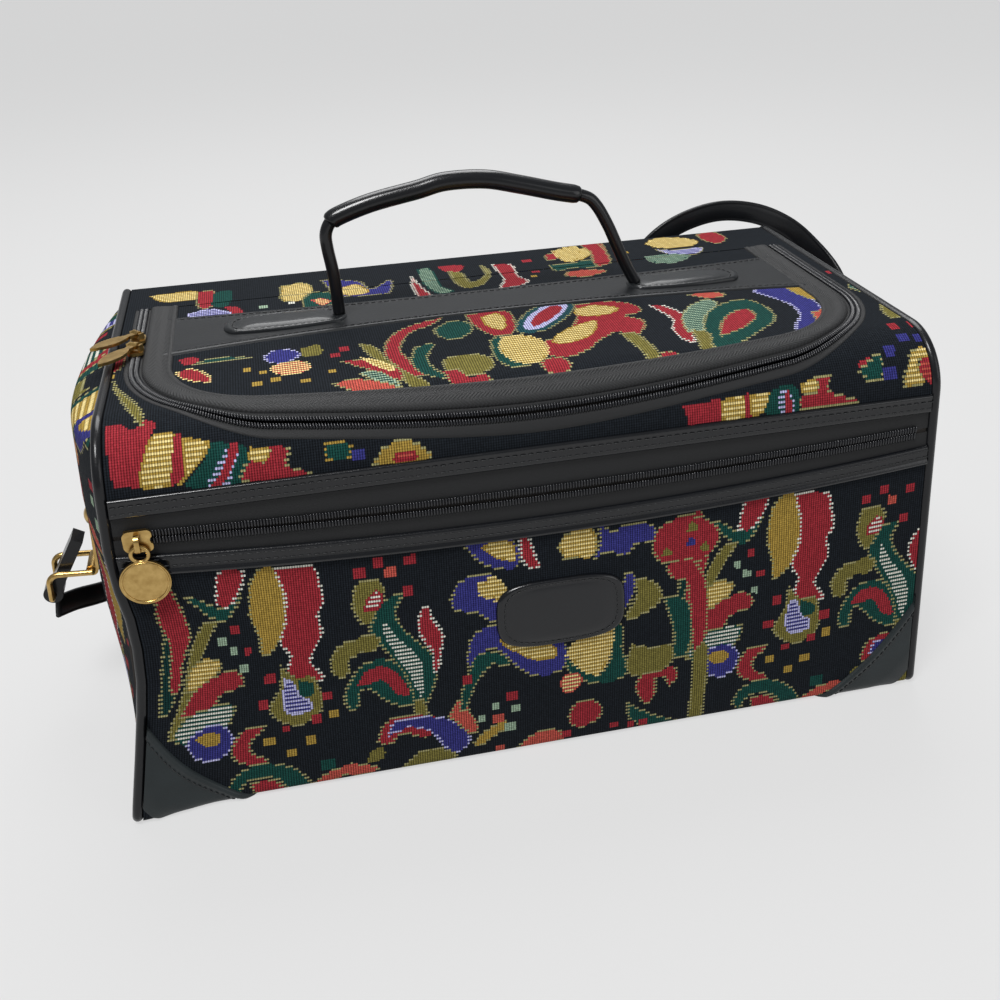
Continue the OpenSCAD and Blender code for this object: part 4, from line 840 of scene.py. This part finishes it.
# Waxed thread: black, with a faint gleam
thread, _, _ = material("black thread", Base_Color=linear("#17181a"), Roughness=0.6)
shares = [-0.02, 0, 0.012, 0.04, 0.08, 0.2, 0.35, 0.5, 0.65, 0.8, 0.92, 0.96, 0.988, 1, 1.02]
x, v = np.meshgrid(np.linspace(-161, 161, 120), shares)
lift = np.interp(
    v, [-0.02, 0, 0.012, 0.04, 0.08, 0.92, 0.96, 0.988, 1, 1.02],
    [-0.6, 0.4, 0.9, 1.1, 0.8, 0.8, 1.1, 0.9, 0.4, -0.6])
y = band_edge(x, True) + v * (band_edge(x, False) - band_edge(x, True))
strip_object("lid band", over_top(x, y, lift + dome(x, y)), band_leather, "lid", "lid_band")
x = np.linspace(-154, 154, 160)
for front in (True, False):
    y = band_edge(x, front) + (3.2 if front else -3.2)
    line = over_top(x, y, 0.85 + dome(x, y))
    stitch_row("lid band stitching", line, (0, 0, 1), 2.4, 0.28, thread, "lid", 3.4)


# Lid zip: binding tape over the lid's edge, a tape each side and two rows of coil, all along a U
# that rolls over the shoulder in front.
def u_way(grow):
    """The U in plan, from the left hinge end round the front to the right hinge end."""
    half, r, corner_x, corner_y, bow_r, bow_y = lid_outline(grow)
    join = math.atan2(bow_y - corner_y, corner_x)
    turn_ = np.linspace(0, join, 60)
    swing = np.linspace(join, math.pi / 2, 70)[1:]
    leg = np.linspace(HINGE_Y, corner_y, 50)[:-1]
    x = np.concatenate([np.full(49, half), corner_x + r * np.cos(turn_), bow_r * np.cos(swing)])
    y = np.concatenate([leg, corner_y - r * np.sin(turn_), bow_y - bow_r * np.sin(swing)])
    return np.concatenate([-x, x[-2::-1]]), np.concatenate([y, y[-2::-1]])


def u_strip(section):
    """A strip along the U: section is (width outwards, lift) pairs."""
    return np.stack([over_top(*u_way(d), h) for d, h in section])[::-1]


# Woven herringbone: matt black chevrons, drawn at 1.7 mm so that they show
CHEVRON_PITCH, CHEVRON_W = 1.7, 2.8
herringbone, tree, shader = material("herringbone tape", Roughness=0.7)
way = add_node(tree, "ShaderNodeAttribute", attribute_name="way")
split = add_node(tree, "ShaderNodeSeparateXYZ", [("Vector", way.outputs["Vector"])])
fold = add_node(tree, "ShaderNodeMath", [(0, split.outputs["Y"])], operation="PINGPONG")
fold.inputs[1].default_value = CHEVRON_W
slant = add_node(tree, "ShaderNodeMath", [(0, split.outputs["X"]), (1, fold.outputs[0])], operation="ADD")
turns = add_node(tree, "ShaderNodeMath", [(0, slant.outputs[0])], operation="MULTIPLY")
turns.inputs[1].default_value = 2 * math.pi / CHEVRON_PITCH
wave = add_node(tree, "ShaderNodeMath", [(0, turns.outputs[0])], operation="COSINE")
tint = add_node(tree, "ShaderNodeMix", [("Factor", wave.outputs[0])], data_type="RGBA")
tint.inputs[6].default_value = linear("#040506")
tint.inputs[7].default_value = linear("#121316")
bump = add_node(tree, "ShaderNodeBump", [("Height", wave.outputs[0])], Strength=0.4, Distance=0.2 * MM)
tree.links.new(tint.outputs[2], shader.inputs["Base Color"])
tree.links.new(bump.outputs["Normal"], shader.inputs["Normal"])
# Close-woven polyester tape: dull black with a fine grain, 1.1 to the millimetre so that it shows
twill, tree, shader = material("black zip tape", Roughness=0.75)
place = add_node(tree, "ShaderNodeTexCoord")
grain = add_node(
    tree, "ShaderNodeTexNoise", [("Vector", place.outputs["Object"])], Scale=1.1 / MM, Detail=2)
tint = add_node(tree, "ShaderNodeMix", [("Factor", grain.outputs["Fac"])], data_type="RGBA")
tint.inputs[6].default_value = linear("#050607")
tint.inputs[7].default_value = linear("#0c0d10")
bump = add_node(
    tree, "ShaderNodeBump", [("Height", grain.outputs["Fac"])], Strength=0.4, Distance=0.2 * MM)
tree.links.new(tint.outputs[2], shader.inputs["Base Color"])
tree.links.new(bump.outputs["Normal"], shader.inputs["Normal"])
binding_section = [
    (-13, -0.4), (-12.8, 0.7), (-12, 1.2), (-10.6, 1.1), (-10, 0.85), (-6, 1.3), (-2, 1.5), (-0.4, 1.3),
    (0.6, 0.6), (0.9, -0.8),
]
points = u_strip(binding_section)
binding = strip_object("lid binding", points, herringbone, "lid", "lid_binding")
along, across = np.meshgrid(way_along(points[5]), [d for d, _ in binding_section[::-1]])
data = binding.data.attributes.new("way", "FLOAT_VECTOR", "POINT").data
data.foreach_set("vector", np.stack([along, across, 0 * along], -1).astype(np.float32).ravel())
lid_tape_section = [(-0.5, -0.2), (1.2, -0.1), (3, -0.2), (3.2, -1)]
strip_object("lid zip tape", u_strip(lid_tape_section), twill, "lid", "lid_zip_tape")
body_tape_section = [(5, -1), (5.2, -0.2), (6.6, 0.1), (7.8, 0.4), (8.3, 0.3), (8.5, -0.5)]
strip_object("body zip tape", u_strip(body_tape_section), twill, "body", "body_zip_tape")
# Moulded nylon: each coil has a small bright highlight
coil, _, _ = material("black nylon coil", Base_Color=linear("#141519"), Roughness=0.28)


def coil_row(name, line, toward, up, length, pitch, body, node):
    """Coil elements along a line: each is a small rounded bar that reaches across."""
    way = way_along(line)
    at = np.arange(pitch / 2, way[-1], pitch)
    spots, across, rise_ = (values_at(at, way, values) for values in (line, toward, up))
    ahead_ = np.cross(across, rise_)
    verts, faces = [], []
    for p, w, u, a in zip(spots, across, rise_, ahead_):
        faces += ring_faces(8, 4, len(verts))
        for d, r in ((-0.5, 0.55), (-0.2, 1), (0.3, 1), (0.5, 0.6)):
            for k in range(8):
                c, s = math.cos(k * math.pi / 4), math.sin(k * math.pi / 4)
                verts.append(p + d * length * w + r * (0.42 * pitch * c * a + 0.75 * s * u))
    row = add_object(name, verts, faces, coil)
    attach(row, body)
    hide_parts(node)
    return row


for name, node, d, body in (
    ("lid coil", "lid_zip_chain", 2.9, "lid"),
    ("body coil", "body_zip_chain", 5.2, "body"),
):
    line = over_top(*u_way(d), 0.3)
    across = unit(over_top(*u_way(d + 1), 0.3) - over_top(*u_way(d - 1), 0.3))
    rise_ = unit(over_top(*u_way(d), 1.3) - line)
    coil_row(name, line, across, rise_, 2.5, 1.25, body, node)

# Pocket zip: two leatherette strips with a rolled edge and two stitch rows each, two tapes and
# two rows of coil. All sag a little between the ends.
# Glossy coated cloth: black, with bright lines along the rolled edges
trim = leatherette("glossy leatherette", "#06070a", "#0c0e12", 0.28, 0.8, 0.3, 0.6)
share_line = np.linspace(-1, 1, 200)
lower_section = [
    (132.6, -0.4), (132.7, 1), (133.4, 1.9), (134.4, 2), (135.2, 1.3), (135.7, 1.05), (139, 1.1),
    (141.2, 1.2), (142, 0.8), (142.2, -1),
]
upper_section = [
    (160.2, -1), (160.5, 0.8), (161.2, 1.2), (164, 1.15), (166.8, 1.05), (167.6, 1.3), (168.4, 1.5),
    (169.1, 1), (169.4, -0.3),
]
for name, node, section, rows in (
    ("lower strip", "pocket_strip_lower", lower_section, (137, 140.3)),
    ("upper strip", "pocket_strip_upper", upper_section, (162.6, 165.9)),
):
    s, h = np.array(section).T
    share, rise = np.meshgrid(share_line, s)
    strip_object(name, wrapped(share, rise, np.repeat(h[:, None], 200, 1)), trim, "body", node)
    for at in rows:
        line = wrapped(share_line, np.full(200, at), 1.15)
        stitch_row(name + " stitching", line, (0, -1, 0), 2.5, 0.3, thread, "body", 3.5)
for name, node, low, high in (
    ("lower zip tape", "pocket_tape_lower", 141.5, 149.5),
    ("upper zip tape", "pocket_tape_upper", 151.5, 161),
):
    share, rise = np.meshgrid(share_line, np.linspace(low, high, 5))
    strip_object(name, wrapped(share, rise, np.full(rise.shape, -0.7)), twill, "body", node)
for name, at in (("lower coil", 148.9), ("upper coil", 152.1)):
    line = wrapped(np.linspace(-0.965, 0.965, 400), np.full(400, at), 0.2)
    upward, forward = np.tile([0, 0, 1.0], (400, 1)), np.tile([0, -1.0, 0], (400, 1))
    coil_row(name, line, upward, forward, 3.4, 1.3, "body", "pocket_chain")

# Corner patches: leatherette sewn over the lower front corners, where they rub on the floor, with
# a rolled edge and a stitch row.
# Dull coated cloth: a greenish charcoal
patch_leather = leatherette("corner leatherette", "#1c2122", "#272d2f", 0.46, 0.8, 0.3)
CORNER_X, CORNER_S = 196, -2.6
CORNER_W, CORNER_H, CORNER_BEND = 56, 58, 3.5
shares = [0, 0.012, 0.04, 0.07, 0.1, 0.13, 0.17, 0.3, 0.5, 0.75, 1]
for side, node in ((-1, "corner_patch_left"), (1, "corner_patch_right")):
    v, w = np.meshgrid(np.linspace(0, 1, 60), shares)
    # The free edge runs from the base up to the piping and bows in towards the corner
    bend = CORNER_BEND * np.sin(np.pi * v)
    edge_x = 198 - CORNER_W * (1 - v) - 4 * v + bend
    edge_s = CORNER_H * v - 2.4 * (1 - v) - bend
    x = edge_x + (CORNER_X - edge_x) * w
    s = edge_s + (CORNER_S - edge_s) * w
    lift = np.interp(w, [0, 0.012, 0.04, 0.07, 0.1, 0.13, 1], [0, 1.4, 2.1, 2, 1.3, 1.0, 1.0])
    share = np.clip(x / half_width(np.maximum(s, 0)), -1, 1) * side
    points = wrapped(share, s, lift)
    name = node.replace("_", " ")
    strip_object(name, points if side > 0 else points[:, ::-1], patch_leather, "body", node)
    line = wrapped(share[5], s[5], 1.1)
    stitch_row(name + " stitching", line, (0, -1, 0), 2.2, 0.28, thread, "body", 3.2)

# Front patch: a plain raised leatherette patch with rounded corners, sewn to the middle of the
# pocket by a stitched border.
PATCH_X, PATCH_S, PATCH_HALF_W, PATCH_HALF_H, SQUARENESS = 6, 88, 31, 19, 0.55
a, w = np.meshgrid(np.linspace(0, 2 * np.pi, 97), [0, 0.3, 0.6, 0.8, 0.88, 0.93, 0.97, 1, 1.01])
lift = np.interp(w, [0, 0.6, 0.8, 0.88, 0.93, 0.97, 1, 1.01], [2.2, 2.1, 1.9, 1.3, 1.9, 1.7, 0.9, -0.3])
x = PATCH_X + PATCH_HALF_W * w * np.sign(np.cos(a)) * np.abs(np.cos(a)) ** SQUARENESS
s = PATCH_S + PATCH_HALF_H * w * np.sign(np.sin(a)) * np.abs(np.sin(a)) ** SQUARENESS
strip_object("front patch", wrapped(x / MID_HALF_L, s, lift), trim, "body", "front_patch")
line = wrapped(x[4] / MID_HALF_L, s[4], 1.5)
stitch_row("front patch stitching", line, (0, -1, 0), 2.2, 0.3, thread, "body", 3.1)

# Handle: a rolled leatherette cord bent into two legs that go down to the tabs, with a thicker
# sewn sleeve as the grip.
# Coated cloth rolled tight: black, with a bright line along its upper side
handle_leather = leatherette("rolled leatherette", "#0a0b0d", "#131417", 0.3, 0.7, 0.25, 0.5)


def tube(name, path, radius, mat, body, node, sides=24):
    """A round cord along a path in a plane across the bag's depth."""
    along = unit(np.gradient(path, axis=0))
    side_ = np.tile([0, 1.0, 0], (len(path), 1))
    up_ = np.cross(along, side_)
    turn_ = np.linspace(0, 2 * np.pi, sides, endpoint=False)
    c, s = np.cos(turn_)[:, None], np.sin(turn_)[:, None]
    rings = [p + r * (c * u + s * w) for p, r, u, w in zip(path, radius, up_, side_)]
    made = sweep(name, rings, mat)
    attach(made, body)
    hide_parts(node)
    return made


HANDLE_Y, HANDLE_FOOT, CORD_R = 10, 199, 3
handle_route = [
    (-75.7, 0), (-76.4, 19), (-78, 33), (-78, 40), (-75.2, 45.4), (-70, 48.4), (-54.4, 53), (-33.3, 56.8),
    (-19.3, 59.6), (-0.4, 59.1), (16.2, 55.3), (34.3, 50.4), (49, 46.7), (55.2, 41.9), (61.5, 31.1),
    (66.7, 19.4), (71.5, 9), (76.5, 0),
]
path = smooth_route([(hx, HANDLE_Y, HANDLE_FOOT + hz) for hx, hz in handle_route], 12)
tube("handle cord", path, np.full(len(path), CORD_R), handle_leather, "lid", "handle_core")
grip = path[int(0.23 * len(path)):int(0.70 * len(path))]
end = len(grip) - 1
taper = np.interp(np.arange(len(grip)), [0, 1, 3, end - 3, end - 1, end], [3.2, 4.1, 4.5, 4.5, 4.1, 3.2])
tube("handle grip", grip, taper, handle_leather, "lid", "handle_grip")

# Handle tabs: raised leatherette tabs with round outer ends, stitched to the band round their
# edge. They hold the ends of the handle.
# Smooth coated cloth over a core: a soft gleam on the crown
tab_leather = leatherette("tab leatherette", "#141618", "#1f2123", 0.4, 0.8, 0.25, 0.35)
TAB_X, TAB_HALF, TAB_R = 102, 19, 11
shares = [0, 0.25, 0.5, 0.7, 0.8, 0.86, 0.92, 0.98, 1, 1.0]
for side, node in ((-1, "handle_tab_left"), (1, "handle_tab_right")):
    a, w = np.meshgrid(np.linspace(0, 2 * np.pi, 97), shares)
    lift = np.interp(w, [0, 0.5, 0.7, 0.8, 0.86, 0.92, 0.98, 1], [4.4, 4.3, 3.9, 3.3, 2.9, 3.4, 2.9, 1.8])
    lift[-1] = -0.5
    reach = np.cos(a)
    x = TAB_X + w * (TAB_HALF * np.sign(reach) * np.minimum(1, np.abs(reach) * 1.6) + TAB_R * reach)
    y = HANDLE_Y + w * TAB_R * np.sin(a)
    points = over_top(x * side, y, lift)
    name = node.replace("_", " ")
    strip_object(name, points if side > 0 else points[:, ::-1], tab_leather, "lid", node)
    line = over_top(x[5] * side, y[5], 3)
    stitch_row(name + " stitching", line, (0, 0, 1), 2.2, 0.3, thread, "lid", 3.2)

# Piping, base and lining: piping of leatherette over cord, sewn round each end, a leatherette base
# over fibreboard, and a dark lining. The left piping follows the soft left front corner.
# Coated cloth over cord: a thin bright line along the loop
piping_leather = leatherette("piping leatherette", "#0b0c0e", "#141518", 0.36, 0.7, 0.25, 0.35)
# Thin woven lining: dull brown-black
lining_cloth, _, _ = material("lining cloth", Base_Color=linear("#2b2724"), Roughness=0.85)
# Pressed fibreboard: matt brown
board, _, _ = material("fibreboard", Base_Color=linear("#4a3f33"), Roughness=0.9)


def dress(mat, *nodes):
    """Gives solids that the scene keeps their material."""
    for n in nodes:
        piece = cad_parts[n]
        piece.data.materials.clear()
        piece.data.materials.append(mat)
        piece.data.polygons.foreach_set("use_smooth", [True] * len(piece.data.polygons))


PIPING_R, LOOP_HALF = 2.5, 99.5
loop = []
for across, upper, r, start in (
    (1, False, 3.5, -90), (1, True, 8.5, 0), (-1, True, 24.5, 90), (-1, False, 3.5, 180),
):
    cy = across * (LOOP_HALF - r)
    cz = END_H - PIPING_R - r if upper else PIPING_R + r
    turn_ = np.radians(np.linspace(start, start + 90, 16))
    loop += [(cy + r * math.cos(a), cz + r * math.sin(a)) for a in turn_]
loop = np.array(loop + loop[:1])
way = way_along(loop)
y, up = values_at(np.linspace(0, way[-1], 401)[:-1], way, loop).T
path = slumped(on_end(-1, -PIPING_R, y, up))
along = unit(np.roll(path, -1, axis=0) - np.roll(path, 1, axis=0))
side_ = unit(np.cross(along, [1.0, 0, 0]))
up_ = np.cross(side_, along)
turn_ = np.linspace(0, 2 * np.pi, 16, endpoint=False)[:, None]
rings = [p + PIPING_R * (np.cos(turn_) * u + np.sin(turn_) * w) for p, u, w in zip(path, up_, side_)]
piping = sweep("left piping", rings, piping_leather, closed=True)
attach(piping, "body")
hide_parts("piping_left")
dress(piping_leather, "piping_right", "bottom_panel", "strap_end_left", "strap_end_right")
dress(lining_cloth, "lining", "front_wall", "lid_board")
dress(board, "base_board")

# Metal: antique-brass sliders, pulls, plates and rings, worn lighter on their high places, and
# dark rivets above the plates.
# Tumbled brass plating: dull gold with lighter worn places about 3 mm wide
brass, tree, shader = material("antique brass", Metallic=1, Roughness=0.3)
place = add_node(tree, "ShaderNodeTexCoord")
cloud = add_node(
    tree, "ShaderNodeTexNoise", [("Vector", place.outputs["Object"])], Scale=0.3 / MM, Detail=4)
tint = add_node(tree, "ShaderNodeMix", [("Factor", cloud.outputs["Fac"])], data_type="RGBA")
tint.inputs[6].default_value = linear("#8a6a34")
tint.inputs[7].default_value = linear("#d8b878")
tree.links.new(tint.outputs[2], shader.inputs["Base Color"])
# Enamelled steel: black, with a small sharp highlight
dark_metal, _, _ = material("black enamel", Base_Color=linear("#1a1a1b"), Roughness=0.3, Metallic=0.6)
dress(
    brass, "pocket_slider", "pocket_pull", "lid_slider_front", "lid_pull_front", "lid_slider_rear",
    "lid_pull_rear", "anchor_rivet_left", "anchor_rivet_right", "anchor_plate_left",
    "anchor_plate_right", "ring_left", "ring_right",
)
dress(dark_metal, "upper_rivet_left", "upper_rivet_right")
